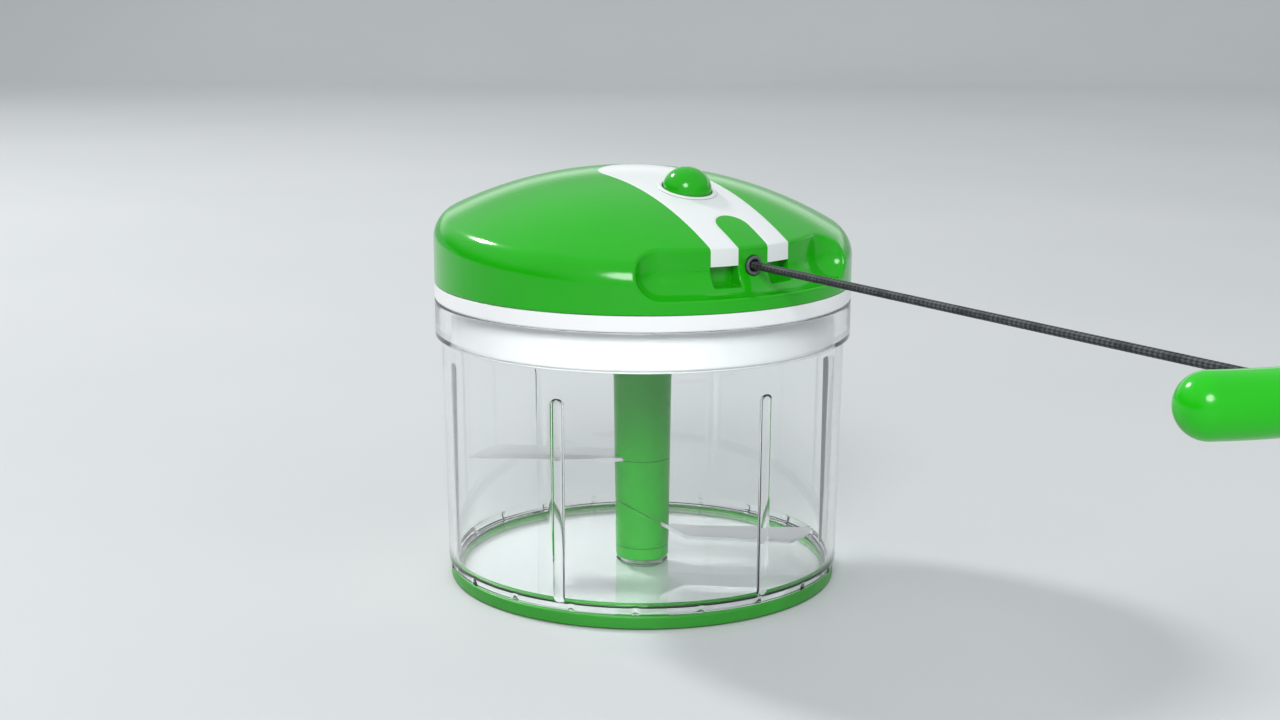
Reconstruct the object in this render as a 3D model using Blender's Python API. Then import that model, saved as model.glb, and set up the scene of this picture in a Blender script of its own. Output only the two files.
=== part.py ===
"""Pull-cord food chopper: clear bowl, drum-shaped lid with a cord reel, a pull
handle that docks in the lid, and a two-blade chopping column.

Frame: +Z up, origin on the bowl's axis at table level. The cord is pulled
towards -Y, and the handle is modelled pulled out. Dimensions below are in
millimetres; everything is built in metres.
"""

import math

import bmesh
import bpy
from mathutils import Matrix, Vector

MM = 0.001
GAP = 0.3                      # clearance between touching pieces

# ---- pull ------------------------------------------------------------------
TRAVEL = 192.7                 # how far the handle is pulled out of its dock
CORD_Z = 105.8                 # height of the cord and of the handle
CORD_R = 1.15
REEL_R = 18.0                  # radius of the cord's centreline on the reel

# ---- handle: an arc bar, concentric with the lid when docked ----------------
HANDLE_ARC_R = 64.4
HANDLE_HALF_ANGLE = 29.3       # degrees, to the centre of each round end
HANDLE_R = 7.3
DOCK_R = 7.65                  # section radius of the recess in the lid

# ---- bowl -------------------------------------------------------------------
BOWL_FLOOR_UNDER = 1.9
BOWL_FLOOR_TOP = 3.9
BOWL_WALL_LOW_R = 61.8
BOWL_WALL_TOP_R = 63.1
BOWL_WALL = 2.3
COLLAR_R = 65.0
COLLAR_LOW = 77.6
BOWL_RIM = 89.1
BOSS_UNDER = 0.5               # underside of the centre boss
RIBS = 6
RIB_TOP = 68.1
RIB_IN_R = 58.8
RIB_TURN = 1.9
PIN_R = 2.5
PIN_TOP = 32.0

# ---- base ring --------------------------------------------------------------
RING_R = 61.15
RING_IN_R = 57.9
RING_TOP = 3.9

# ---- blade column -----------------------------------------------------------
COLUMN_R = 8.45                # low on the column; it widens upwards
COLUMN_FLARE = 0.0133
ROOT_R = 7.4                   # round root of each blade
LIP_R = 7.7                    # inside of the lips that close over the roots
TUBE_R = 4.9
SEAT_R = TUBE_R + GAP
BLADE_T = 1.2
BLADE_REACH = 55.5
UPPER_BLADE_Z = 37.0
LOWER_BLADE_Z = 12.0           # height of the lower blade's level arm
SLANT = (17.9, -0.6092, 0.0875)   # z = a + b x + c y, the slanted blade seat
COLUMN_TOP = 84.0
HEX_SOCKET = 5.0               # apothem
HEX_PLUG = 4.7
BLADE_TURN = -34.2             # degrees from the camera-side axes to this frame

# ---- lid --------------------------------------------------------------------
LID_R = 65.0
FLANGE_LOW = 89.4
FLANGE_TOP = 93.9
SKIRT_R = 60.3
SKIRT_LOW = 77.2
COVER_LOW = 94.2
DOME_R = 128.6                 # the top is part of a big ball ...
DOME_TOP = 128.5
DOME_BACK = 7.7                # ... whose centre lies behind the axis
EDGE_FILLET = 4.0
COVER_WALL = 2.4
TRIM_HALF = 14.0
TRIM_T = 1.2
TRIM_LOW = 106.2
TONGUE_HALF = 5.3
TONGUE_CENTRE = 47.2
POCKET_LOW = 100.3
POSTS_R = 46.0

# ---- button -----------------------------------------------------------------
BUTTON_U = 23.5                # distance from the axis towards the pull side
BUTTON_R = 7.4
BUTTON_RISE = 6.6
BUTTON_TRAVEL = 2.5

for old in list(bpy.data.objects):
    bpy.data.objects.remove(old, do_unlink=True)

# ---- materials --------------------------------------------------------------


def material(name, colour, roughness, metallic=0.0, alpha=1.0):
    m = bpy.data.materials.new(name)
    m.use_nodes = True
    b = m.node_tree.nodes["Principled BSDF"]
    b.inputs["Base Color"].default_value = (*colour, 1.0)
    b.inputs["Roughness"].default_value = roughness
    b.inputs["Metallic"].default_value = metallic
    b.inputs["Alpha"].default_value = alpha
    return m


GREEN = material("green_plastic", (0.045, 0.36, 0.03), 0.25)
WHITE = material("white_plastic", (0.82, 0.83, 0.84), 0.3)
CLEAR = material("clear_plastic", (0.9, 0.93, 0.94), 0.05, alpha=0.3)
NATURAL = material("natural_plastic", (0.75, 0.74, 0.7), 0.4)
GREY = material("grey_plastic", (0.22, 0.24, 0.25), 0.4)
STEEL = material("steel", (0.6, 0.61, 0.62), 0.25, metallic=1.0)
BRONZE = material("bronze", (0.45, 0.27, 0.12), 0.4, metallic=1.0)
RUBBER = material("rubber", (0.03, 0.03, 0.03), 0.7)
BRAID = material("braided_cord", (0.03, 0.035, 0.035), 0.8)

# ---- modelling helpers ------------------------------------------------------


def scaled(mesh_bm):
    bmesh.ops.scale(mesh_bm, vec=(MM, MM, MM), verts=mesh_bm.verts)


def finish_mesh(name, bm, mat, smooth=True, merge=True):
    """Closes the mesh work: welds, turns the faces outwards, makes the object."""
    if merge:
        bmesh.ops.remove_doubles(bm, verts=bm.verts, dist=0.0005)
    bmesh.ops.recalc_face_normals(bm, faces=bm.faces)
    scaled(bm)
    mesh = bpy.data.meshes.new(name)
    bm.to_mesh(mesh)
    bm.free()
    if smooth:
        mesh.shade_smooth()
        mesh.set_sharp_from_angle(angle=math.radians(35))
    ob = bpy.data.objects.new(name, mesh)
    bpy.context.scene.collection.objects.link(ob)
    if mat:
        mesh.materials.append(mat)
    return ob


def lathe(name, profile, steps, mat, axis="Z", turn=0.0):
    """Turns a closed outline of (radius, height) points about an axis."""
    bm = bmesh.new()
    verts = [bm.verts.new((r, 0.0, z)) for r, z in profile]
    edges = []
    for a, b in zip(verts, verts[1:] + verts[:1]):
        if a.co.x < 1e-6 and b.co.x < 1e-6:
            continue
        edges.append(bm.edges.new((a, b)))
    bmesh.ops.spin(bm, geom=verts + edges, cent=(0, 0, 0), axis=(0, 0, 1),
                   angle=math.tau, steps=steps, use_merge=True)
    bmesh.ops.remove_doubles(bm, verts=bm.verts, dist=0.0005)
    if turn:
        bmesh.ops.rotate(bm, verts=bm.verts, cent=(0, 0, 0),
                         matrix=Matrix.Rotation(math.radians(turn), 3, "Z"))
    if axis == "-Y":           # height runs towards the pull side
        bmesh.ops.rotate(bm, verts=bm.verts, cent=(0, 0, 0),
                         matrix=Matrix.Rotation(math.radians(90), 3, "X"))
    return finish_mesh(name, bm, mat)


def prism(name, outline, low, high, mat):
    """Extrudes an outline of (x, y) points between two heights."""
    bm = bmesh.new()
    face = bm.faces.new([bm.verts.new((x, y, low)) for x, y in outline])
    out = bmesh.ops.extrude_face_region(bm, geom=[face])
    moved = [g for g in out["geom"] if isinstance(g, bmesh.types.BMVert)]
    bmesh.ops.translate(bm, verts=moved, vec=(0, 0, high - low))
    return finish_mesh(name, bm, mat)


def stack(name, loops, mat, tip_low=None, tip_high=None):
    """Skins a pile of equal loops and closes both ends, flat or to a point."""
    bm = bmesh.new()
    rows = [[bm.verts.new(p) for p in loop] for loop in loops]
    n = len(rows[0])
    for lower, upper in zip(rows, rows[1:]):
        for i in range(n):
            j = (i + 1) % n
            bm.faces.new((lower[i], lower[j], upper[j], upper[i]))
    for row, tip in ((rows[0], tip_low), (rows[-1], tip_high)):
        if tip is None:
            bm.faces.new(row)
        else:
            apex = bm.verts.new(tip)
            for i in range(n):
                bm.faces.new((row[i], row[(i + 1) % n], apex))
    return finish_mesh(name, bm, mat)


def box(name, low, high, mat):
    x0, y0, z0 = low
    x1, y1, z1 = high
    return prism(name, [(x0, y0), (x1, y0), (x1, y1), (x0, y1)], z0, z1, mat)


def tube(name, points, radius, mat, resolution=2):
    """A round cord or wire along points, with its ends filled."""
    curve = bpy.data.curves.new(name, "CURVE")
    curve.dimensions = "3D"
    curve.bevel_depth = radius * MM
    curve.bevel_resolution = resolution
    curve.use_fill_caps = True
    spline = curve.splines.new("POLY")
    spline.points.add(len(points) - 1)
    for p, co in zip(spline.points, points):
        p.co = (co[0] * MM, co[1] * MM, co[2] * MM, 1.0)
    ob = bpy.data.objects.new(name, curve)
    bpy.context.scene.collection.objects.link(ob)
    curve.materials.append(mat)
    return ob


def guide(ob):
    """Marks an object as a cutter: it shapes others and isn't a piece."""
    ob.hide_render = True
    ob.display_type = "WIRE"
    return ob


def boolean(ob, other, operation):
    m = ob.modifiers.new(operation.lower() + "_" + other.name, "BOOLEAN")
    m.operation = operation
    m.object = other
    m.solver = "EXACT"
    guide(other)


def cut(ob, *others):
    for other in others:
        boolean(ob, other, "DIFFERENCE")


def arc_stadium(half_width, z, arcs=9, caps=5, radius=HANDLE_ARC_R,
                half_angle=HANDLE_HALF_ANGLE):
    """Plan outline of a bent bar with round ends, about the lid's axis."""
    a = math.radians(half_angle)
    pts = []

    def at(r, t):              # t = 0 points towards the pull side
        return Vector((r * math.sin(t), -r * math.cos(t), z))
    for i in range(arcs + 1):
        pts.append(at(radius + half_width, -a + 2 * a * i / arcs))
    end = at(radius, a)
    for i in range(1, caps):
        t = a + math.pi * i / caps
        pts.append(end + Vector((half_width * math.sin(t),
                                 -half_width * math.cos(t), 0)))
    for i in range(arcs + 1):
        pts.append(at(radius - half_width, a - 2 * a * i / arcs))
    end = at(radius, -a)
    for i in range(1, caps):
        t = -a + math.pi + math.pi * i / caps
        pts.append(end + Vector((half_width * math.sin(t),
                                 -half_width * math.cos(t), 0)))
    return pts


def polar(radius, degrees, z=0.0):
    """Point at an angle from the pull side, positive towards +X."""
    t = math.radians(degrees)
    return (radius * math.sin(t), -radius * math.cos(t), z)


# ---- bowl -------------------------------------------------------------------

INNER_LOW = BOWL_WALL_LOW_R - BOWL_WALL
INNER_TOP = BOWL_WALL_TOP_R - BOWL_WALL
bowl = lathe("bowl", [
    (0, BOSS_UNDER), (7.0, BOSS_UNDER), (7.6, 1.1), (8.1, BOWL_FLOOR_UNDER),
    (58.6, BOWL_FLOOR_UNDER), (59.3, 2.6), (59.3, 4.2), (61.2, 4.45),
    (BOWL_WALL_LOW_R, 5.2), (BOWL_WALL_TOP_R, COLLAR_LOW - 0.5),
    (64.5, COLLAR_LOW), (COLLAR_R, COLLAR_LOW + 0.5),
    (COLLAR_R, BOWL_RIM - 0.9), (64.75, BOWL_RIM - 0.25), (64.2, BOWL_RIM),
    (INNER_TOP + 0.3, BOWL_RIM), (INNER_TOP, BOWL_RIM - 0.3),
    (INNER_TOP, COLLAR_LOW - 0.2), (INNER_LOW, 8.0), (58.2, 5.8), (58.1, 4.6),
    (57.4, BOWL_FLOOR_TOP),
    (PIN_R + GAP, BOWL_FLOOR_TOP), (PIN_R + GAP, 1.0), (0, 1.0),
], 40, CLEAR)

# six upright ribs on the wall that stop the food from going round
rib_outline = []
for i in range(7):
    t = math.pi * i / 6
    rib_outline.append((2.0 * math.cos(t), RIB_IN_R + 1.2 - 1.2 * math.sin(t)))
rib_outline += [(-2.0, 60.9), (2.0, 60.9)]
for k in range(RIBS):
    turn = RIB_TURN + 60.0 * k
    pts = []
    for x, r in rib_outline:
        a = math.radians(turn)
        pts.append((x * math.cos(a) + r * math.sin(a),
                    x * math.sin(a) - r * math.cos(a)))
    rib = prism("rib_guide_%d" % k, pts, BOWL_FLOOR_TOP + 0.8, RIB_TOP, None)
    boolean(bowl, rib, "UNION")

lathe("bowl_pin", [
    (0, 1.3), (PIN_R, 1.3), (PIN_R, PIN_TOP - 2.2), (1.1, PIN_TOP),
    (0, PIN_TOP)], 20, STEEL)

lathe("base_ring", [
    (RING_IN_R, 0), (RING_R - 0.5, 0), (RING_R, 0.5), (RING_R, RING_TOP - 0.4),
    (RING_R - 0.4, RING_TOP), (59.9, RING_TOP), (59.6, RING_TOP - 0.3),
    (59.6, BOWL_FLOOR_UNDER - GAP), (RING_IN_R, BOWL_FLOOR_UNDER - GAP),
], 40, GREEN)

# ---- blade column: stacked sleeves on a tube, with the blades between them --

blade_hub = bpy.data.objects.new("blade_axis", None)
bpy.context.scene.collection.objects.link(blade_hub)


def on_axis(ob, parent):
    ob.parent = parent
    return ob


def slant(x, y):
    return SLANT[0] + SLANT[1] * x + SLANT[2] * y


def circle(radius, n, height):
    """Points round the axis; height is a number or a rule of x and y."""
    pts = []
    for i in range(n):
        t = math.tau * i / n
        x, y = radius * math.cos(t), radius * math.sin(t)
        pts.append((x, y, height(x, y) if callable(height) else height))
    return pts


def column_r(z):
    return COLUMN_R + COLUMN_FLARE * (z - 8.0)


def lipped(height, lip, towards):
    """An end face's height with its lip, which is open where the arm leaves."""
    def rule(x, y):
        away = math.degrees(math.atan2(y, x)) - towards
        shut = abs((away + 180.0) % 360.0 - 180.0) > 50.0
        z = height(x, y) if callable(height) else height
        return z + lip if shut else z
    return rule


def pipe(name, rows, mat, capped=False, n=28):
    """Skins rings of (radius, height) in order: a pipe, or capped at both ends."""
    bm = bmesh.new()
    rings = [[bm.verts.new(p) for p in circle(r, n, h)] for r, h in rows]
    follow = rings[1:] if capped else rings[1:] + rings[:1]
    for a, b in zip(rings, follow):
        for i in range(n):
            j = (i + 1) % n
            bm.faces.new((a[i], a[j], b[j], b[i]))
    if capped:
        bm.faces.new(rings[0])
        bm.faces.new(rings[-1])
    return on_axis(finish_mesh(name, bm, mat), blade_hub)


on_axis(lathe("bottom_cap", [
    (PIN_R + 0.5, 4.3), (COLUMN_R - 0.8, 4.3), (COLUMN_R, 5.1),
    (COLUMN_R, 8.15), (SEAT_R, 8.15), (SEAT_R, 5.4), (PIN_R + 0.5, 5.4),
], 28, GREEN), blade_hub)

on_axis(lathe("hub_tube", [
    (PIN_R + 0.4, 5.7), (TUBE_R, 5.7), (TUBE_R, 40.5), (PIN_R + 0.4, 40.5),
], 24, WHITE), blade_hub)

SLOPE = math.sqrt(1 + SLANT[1] ** 2 + SLANT[2] ** 2)
SEAT_LIFT = (BLADE_T / 2 + GAP) * SLOPE       # from a root's middle to its seat
LIP = SEAT_LIFT - GAP / 2
TOWARDS_UPPER = 180.0 + BLADE_TURN
TOWARDS_LOWER = BLADE_TURN
UPPER_LIFT = BLADE_T / 2 + GAP


def under_lower(x, y):
    return slant(x, y) - SEAT_LIFT


def over_lower(x, y):
    return slant(x, y) + SEAT_LIFT


# lips round the seats meet over the blade's root, all round but for its arm
lip_1 = lipped(under_lower, LIP, TOWARDS_LOWER)
lip_2 = lipped(over_lower, -LIP, TOWARDS_LOWER)
lip_3 = lipped(UPPER_BLADE_Z - UPPER_LIFT, UPPER_LIFT - GAP / 2, TOWARDS_UPPER)
lip_4 = lipped(UPPER_BLADE_Z + UPPER_LIFT, GAP / 2 - UPPER_LIFT, TOWARDS_UPPER)
R_LOW, R_HIGH = column_r(SLANT[0]), column_r(UPPER_BLADE_Z)
pipe("lower_sleeve", [
    (SEAT_R, 8.45), (column_r(8.45), 8.45), (R_LOW, lip_1), (LIP_R, lip_1),
    (LIP_R, under_lower), (SEAT_R, under_lower)], GREEN)
pipe("middle_sleeve", [
    (SEAT_R, over_lower), (LIP_R, over_lower), (LIP_R, lip_2), (R_LOW, lip_2),
    (R_HIGH, lip_3), (LIP_R, lip_3), (LIP_R, UPPER_BLADE_Z - UPPER_LIFT),
    (SEAT_R, UPPER_BLADE_Z - UPPER_LIFT)], GREEN)
upper_sleeve = pipe("upper_sleeve", [
    (SEAT_R, 70.0), (SEAT_R, UPPER_BLADE_Z + UPPER_LIFT),
    (LIP_R, UPPER_BLADE_Z + UPPER_LIFT), (LIP_R, lip_4), (R_HIGH, lip_4),
    (column_r(COLUMN_TOP), COLUMN_TOP - 0.6),
    (column_r(COLUMN_TOP) - 0.6, COLUMN_TOP)], GREEN, capped=True)


def hexagon(apothem, per_side, z):
    """Points of a hexagon, several to a side, starting on a flat."""
    n = 6 * per_side
    pts = []
    for i in range(n):
        t = math.tau * i / n
        local = (t + math.pi / 6) % (math.pi / 3) - math.pi / 6
        r = apothem / math.cos(local)
        pts.append((r * math.cos(t), r * math.sin(t), z))
    return pts


cut(upper_sleeve, stack("hex_cutter", [hexagon(HEX_SOCKET, 4, 76.3),
                                       hexagon(HEX_SOCKET, 4, 90.0)], None))


def blade(name, rule, bend, towards):
    """A stamped blade: round root with a hole and a sharpened, swept arm.

    The arm runs along s, with w across it; the edge is ground on the -w side,
    and the end is cut back towards +w, so the tip lies on the ground edge.
    rule gives the middle height at (x, y), bend gives the s of the bend at w.
    """
    a = math.radians(towards)
    along = Vector((math.cos(a), math.sin(a)))
    across = Vector((math.sin(a), -math.cos(a)))
    plan, half, faces = [], [], []

    def add(s, w, h):
        plan.append(along * s + across * w)
        half.append(h)
        return len(plan) - 1
    n = 24
    outer = [add(ROOT_R * math.cos(math.tau * i / n),
                 ROOT_R * math.sin(math.tau * i / n), BLADE_T / 2)
             for i in range(n)]
    inner = [add(SEAT_R * math.cos(math.tau * i / n),
                 SEAT_R * math.sin(math.tau * i / n), BLADE_T / 2)
             for i in range(n)]
    for i in range(n):
        j = (i + 1) % n
        faces.append((inner[i], outer[i], outer[j], inner[j]))
    root = [outer[k % n] for k in range(-3, 4)]      # -45 to +45 degrees

    def edges_at(s):
        f = (s - 5.94) / (BLADE_REACH - 5.94)
        return -5.94 + 2.3 * f, 5.94 + 6.1 * f
    rows = []
    stations = [bend, 16.0, 24.0, 32.0, 40.0, 48.0, BLADE_REACH - 0.2]
    for st in stations:
        row = []
        for part, h in ((0.0, 0.15), (0.22, BLADE_T / 2), (1.0, BLADE_T / 2)):
            if callable(st):
                lo, hi = edges_at(10.6)
                w = lo + (hi - lo) * part
                s = st(w)
                lo, hi = edges_at(s)
                w = lo + (hi - lo) * part
                s = st(w)
                h = BLADE_T / 2
            else:
                lo, hi = edges_at(st)
                w = lo + (hi - lo) * part
                back = (st - 16.0) / (BLADE_REACH - 16.0)
                s = st - 9.0 * part ** 1.5 * back ** 2
            row.append(add(s, w, h))
        rows.append(row)
    faces.append((rows[0][0], rows[0][1]) + tuple(reversed(root[:4])))
    faces.append((rows[0][1], rows[0][2]) + tuple(reversed(root[3:])))
    for p, q in zip(rows, rows[1:]):
        for i in range(2):
            faces.append((p[i], q[i], q[i + 1], p[i + 1]))
    bm = bmesh.new()
    tops, lows = [], []
    for co, h in zip(plan, half):
        mid = rule(co.x, co.y)
        tops.append(bm.verts.new((co.x, co.y, mid + h)))
        lows.append(bm.verts.new((co.x, co.y, mid - h)))
    used = {}
    for face in faces:
        bm.faces.new([tops[i] for i in face])
        bm.faces.new([lows[i] for i in reversed(face)])
        for i, j in zip(face, face[1:] + face[:1]):
            used[(i, j)] = used.get((i, j), 0) + 1
    for i, j in used:
        if (j, i) not in used:
            bm.faces.new((tops[i], lows[i], lows[j], tops[j]))
    return on_axis(finish_mesh(name, bm, STEEL), blade_hub)


LEVEL = LOWER_BLADE_Z
a_low = math.radians(TOWARDS_LOWER)
S_SLOPE = SLANT[1] * math.cos(a_low) + SLANT[2] * math.sin(a_low)
W_SLOPE = SLANT[1] * math.sin(a_low) - SLANT[2] * math.cos(a_low)
blade("upper_blade", lambda x, y: UPPER_BLADE_Z, lambda w: 11.0, TOWARDS_UPPER)
blade("lower_blade", lambda x, y: max(slant(x, y), LEVEL),
      lambda w: (LEVEL - SLANT[0] - W_SLOPE * w) / S_SLOPE, TOWARDS_LOWER)

# ---- lid base: flange, plug skirt, plate and bearing boss -------------------

lid_base = lathe("lid_base", [
    (4.5, 85.8), (7.6, 85.8), (8.0, 86.2), (8.0, 91.5), (SKIRT_R - 2.0, 91.5),
    (SKIRT_R - 2.0, SKIRT_LOW), (SKIRT_R - 0.5, SKIRT_LOW),
    (SKIRT_R, SKIRT_LOW + 0.6), (SKIRT_R, FLANGE_LOW), (LID_R - 0.4, FLANGE_LOW),
    (LID_R, FLANGE_LOW + 0.4), (LID_R, FLANGE_TOP), (62.1, FLANGE_TOP),
    (62.1, 95.3), (60.6, 95.3), (60.6, FLANGE_TOP), (4.5, FLANGE_TOP),
], 40, WHITE)
for k in range(3):
    x, y, _ = polar(POSTS_R, 60 + 120 * k)
    hole = lathe("screw_hole_%d" % k, [(0, 85), (1.7, 85), (1.7, 99), (0, 99)],
                 10, None)
    hole.location = (x * MM, y * MM, 0)
    cut(lid_base, hole)
    screw = lathe("cover_screw_%d" % (k + 1), [
        (0, 89.6), (2.3, 89.4), (2.9, 90.1), (2.9, 91.2), (1.2, 91.2),
        (1.2, 102.0), (0.4, 103.0), (0, 103.0)], 12, STEEL)
    screw.location = (x * MM, y * MM, 0)

# ---- lid cover --------------------------------------------------------------


def dome_loops(low, offset, fillet, n=40, bevel=3, rings=3, wall=None,
               phase=0.0):
    """Loops of the drum with its domed top, moved inwards by offset.

    With a fillet, a ball of that radius rolls along the edge between the wall
    and the dome.
    """
    wall_r = (LID_R - offset) if wall is None else wall
    ball = DOME_R - offset
    centre = Vector((0, DOME_BACK, DOME_TOP - DOME_R))
    loops = [[] for _ in range(1 + (bevel + 1 if fillet else 1) + rings)]
    for i in range(n):
        t = math.tau * (i + phase) / n
        out = Vector((math.cos(t), math.sin(t), 0))
        loops[0].append(out * wall_r + Vector((0, 0, low)))
        k = 1
        if fillet:
            c = out * (wall_r - fillet)
            flat = Vector((c.x - centre.x, c.y - centre.y, 0)).length
            c.z = centre.z + math.sqrt((ball - fillet) ** 2 - flat ** 2)
            up = (c - centre).normalized()
            for j in range(bevel + 1):
                d = out.slerp(up, j / bevel)
                loops[k].append(c + d * fillet)
                k += 1
            last = c + up * fillet
        else:
            c = out * wall_r
            flat = Vector((c.x - centre.x, c.y - centre.y, 0)).length
            c.z = centre.z + math.sqrt(ball ** 2 - flat ** 2)
            loops[k].append(c)
            k += 1
            last = c
        for j in range(rings):
            f = 1 - (j + 1) / (rings + 0.6)
            p = Vector((last.x * f, last.y * f, 0))
            flat = Vector((p.x - centre.x, p.y - centre.y, 0)).length
            p.z = centre.z + math.sqrt(ball ** 2 - flat ** 2)
            loops[k].append(p)
            k += 1
    apex = Vector((0, 0, centre.z + math.sqrt(ball ** 2 - DOME_BACK ** 2)))
    return loops, apex


def dome_solid(name, low, offset, fillet, mat=None, **kw):
    loops, apex = dome_loops(low, offset, fillet, **kw)
    return stack(name, loops, mat, tip_high=apex)


def dock_solid(name, radius, top):
    """The dock: round-bottomed trough along the handle's arc, open upwards."""
    loops = []
    for i in range(6):
        t = math.radians(90 - 6 - 84 * i / 5)
        loops.append(arc_stadium(radius * math.cos(t), CORD_Z - radius * math.sin(t)))
    loops.append(arc_stadium(radius, top))
    return stack(name, loops, None)


def strip_outline(grow):
    """Plan outline of the white strip with the tongue's notch at its front."""
    w, notch = TRIM_HALF + grow, TONGUE_HALF - grow
    pts = [(w, -70.0), (w, 0.0)]
    for i in range(1, 12):
        t = math.pi * i / 12
        pts.append((w * math.cos(t), w * math.sin(t)))
    pts += [(-w, 0.0), (-w, -70.0), (-notch, -70.0), (-notch, -TONGUE_CENTRE)]
    for i in range(1, 8):
        t = math.pi - math.pi * i / 8
        pts.append((notch * math.cos(t), -TONGUE_CENTRE + notch * math.sin(t)))
    pts += [(notch, -TONGUE_CENTRE), (notch, -70.0)]
    return pts


lid_cover = dome_solid("lid_cover", COVER_LOW, 0.0, EDGE_FILLET, GREEN)

# hollow of the cover, less the dock's shell, the pocket backs and the posts
hollow = dome_solid("cover_hollow", 90.0, COVER_WALL, 0.0, phase=0.5)
shell = dock_solid("dock_shell", DOCK_R + COVER_WALL, 140.0)
cut(hollow, shell)
cut(hollow, box("pocket_back", (-16.2, -60.0, 98.0), (16.2, -51.2, 140.0), None))
top_post = lathe("top_post", [(0, 111.6), (6.5, 111.6), (6.5, 140), (0, 140)],
                 20, None)
cut(hollow, top_post)
for k in range(3):
    x, y, _ = polar(POSTS_R, 60 + 120 * k)
    post = lathe("post_%d" % k, [(0, COVER_LOW), (3.6, COVER_LOW), (3.9, 140),
                                 (0, 140)], 12, None)
    post.location = (x * MM, y * MM, 0)
    cut(hollow, post)
cut(lid_cover, hollow)
cut(lid_cover, dock_solid("dock_cutter", DOCK_R, 140.0))

# channel for the white strip: over the dome and down the dock's back wall
channel = prism("strip_channel", strip_outline(GAP), TRIM_LOW - GAP, 140.0, None)
core = dome_solid("channel_core", 80.0, TRIM_T + GAP, 0.0,
                  wall=HANDLE_ARC_R - DOCK_R - TRIM_T - GAP, phase=0.5)
cut(channel, core)
cut(lid_cover, channel)
for side in (-1, 1):
    x0, x1 = sorted((side * TONGUE_HALF, side * TRIM_HALF))
    cut(lid_cover, box("pocket_%s" % ("left" if side < 0 else "right"),
                       (x0, -66.0, POCKET_LOW), (x1, -53.4, TRIM_LOW), None))

# bores: bearing, screws, cord
cut(lid_cover, lathe("bearing_bore", [(0, 105), (4.5, 105), (4.5, 119), (0, 119)],
                     20, None))
for k in range(3):
    x, y, _ = polar(POSTS_R, 60 + 120 * k)
    hole = lathe("post_bore_%d" % k, [(0, 90), (1.5, 90), (1.5, 104), (0, 104)],
                 10, None, turn=11)
    hole.location = (x * MM, y * MM, 0)
    cut(lid_cover, hole)
cord_bore = lathe("cord_bore", [(0, 45), (2.8, 45), (2.8, 56.6), (3.4, 56.6), (3.4, 62), (0, 62)], 16,
                  None, axis="-Y", turn=7)
cord_bore.location = (0, 0, CORD_Z * MM)
cut(lid_cover, cord_bore)

# ---- white strip ------------------------------------------------------------

lid_trim = prism("lid_trim", strip_outline(0.0), TRIM_LOW, 140.0, WHITE)
boolean(lid_trim, dome_solid("trim_top", 80.0, 0.0, EDGE_FILLET), "INTERSECT")
cut(lid_trim, dome_solid("trim_core", 80.0, TRIM_T, 0.0,
                         wall=HANDLE_ARC_R - DOCK_R - TRIM_T, phase=0.5))
cut(lid_trim, dock_solid("trim_dock", DOCK_R, 140.0))

# ---- button, set square to the dome -----------------------------------------

BUTTON_TILT = math.asin((BUTTON_U + DOME_BACK) / DOME_R)
BUTTON_AT = (0, -BUTTON_U * MM,
             (DOME_TOP - DOME_R + DOME_R * math.cos(BUTTON_TILT)) * MM)


def on_button(ob):
    ob.location = BUTTON_AT
    ob.rotation_euler = (BUTTON_TILT, 0, 0)
    return ob


for target, label in ((lid_cover, "cover"), (lid_trim, "strip")):
    cut(target, on_button(lathe("button_hole_" + label, [
        (0, -20), (8.8, -20), (8.8, 8), (0, 8)], 28, None, turn=5)))

on_button(lathe("button_collar", [
    (3.4, -8.2), (8.5, -8.2), (8.5, 0.25), (9.2, 0.2), (9.2, 0.5), (8.5, 0.8),
    (7.75, 0.8), (7.75, -7.6), (3.4, -7.6)], 24, WHITE))

cap = [(0, -9.0), (3.0, -9.0), (3.0, -3.2), (BUTTON_R, -3.2), (BUTTON_R, 0.0)]
for i in range(1, 6):
    t = math.radians(18 * i)
    cap.append((BUTTON_R * math.cos(t) if i < 5 else 0.0, BUTTON_RISE * math.sin(t)))
on_button(lathe("button_cap", cap, 24, GREEN))

tip = [(0, -9.3), (3.5, -9.3)]
for i in range(1, 5):
    t = math.radians(22.5 * i)
    tip.append((3.5 * math.cos(t) if i < 4 else 0.0, -9.3 - 3.05 * math.sin(t)))
on_button(lathe("brake_tip", tip, 16, RUBBER))

coil = []
for i in range(3 * 10 + 1):
    t = math.tau * i / 10
    coil.append((5.3 * math.cos(t), 5.3 * math.sin(t), -7.2 + 3.5 * i / 30))
on_button(tube("button_spring", coil, 0.3, STEEL, resolution=1))

# ---- cord eyelet ------------------------------------------------------------

eyelet = lathe("cord_eyelet", [
    (1.6, 52.0), (2.5, 52.0), (2.5, 57.05), (3.05, 57.05), (3.05, 57.3),
    (2.7, 57.6), (1.95, 57.6), (1.6, 57.3)], 16, GREY, axis="-Y")
eyelet.location = (0, 0, CORD_Z * MM)

# ---- works under the cover --------------------------------------------------

reel_axis = bpy.data.objects.new("reel_axis", None)
bpy.context.scene.collection.objects.link(reel_axis)

lathe("spring_housing", [
    (3.2, 94.2), (26.5, 94.2), (26.5, 100.9), (25.0, 100.9), (25.0, 95.4),
    (3.2, 95.4)], 32, NATURAL)

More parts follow.
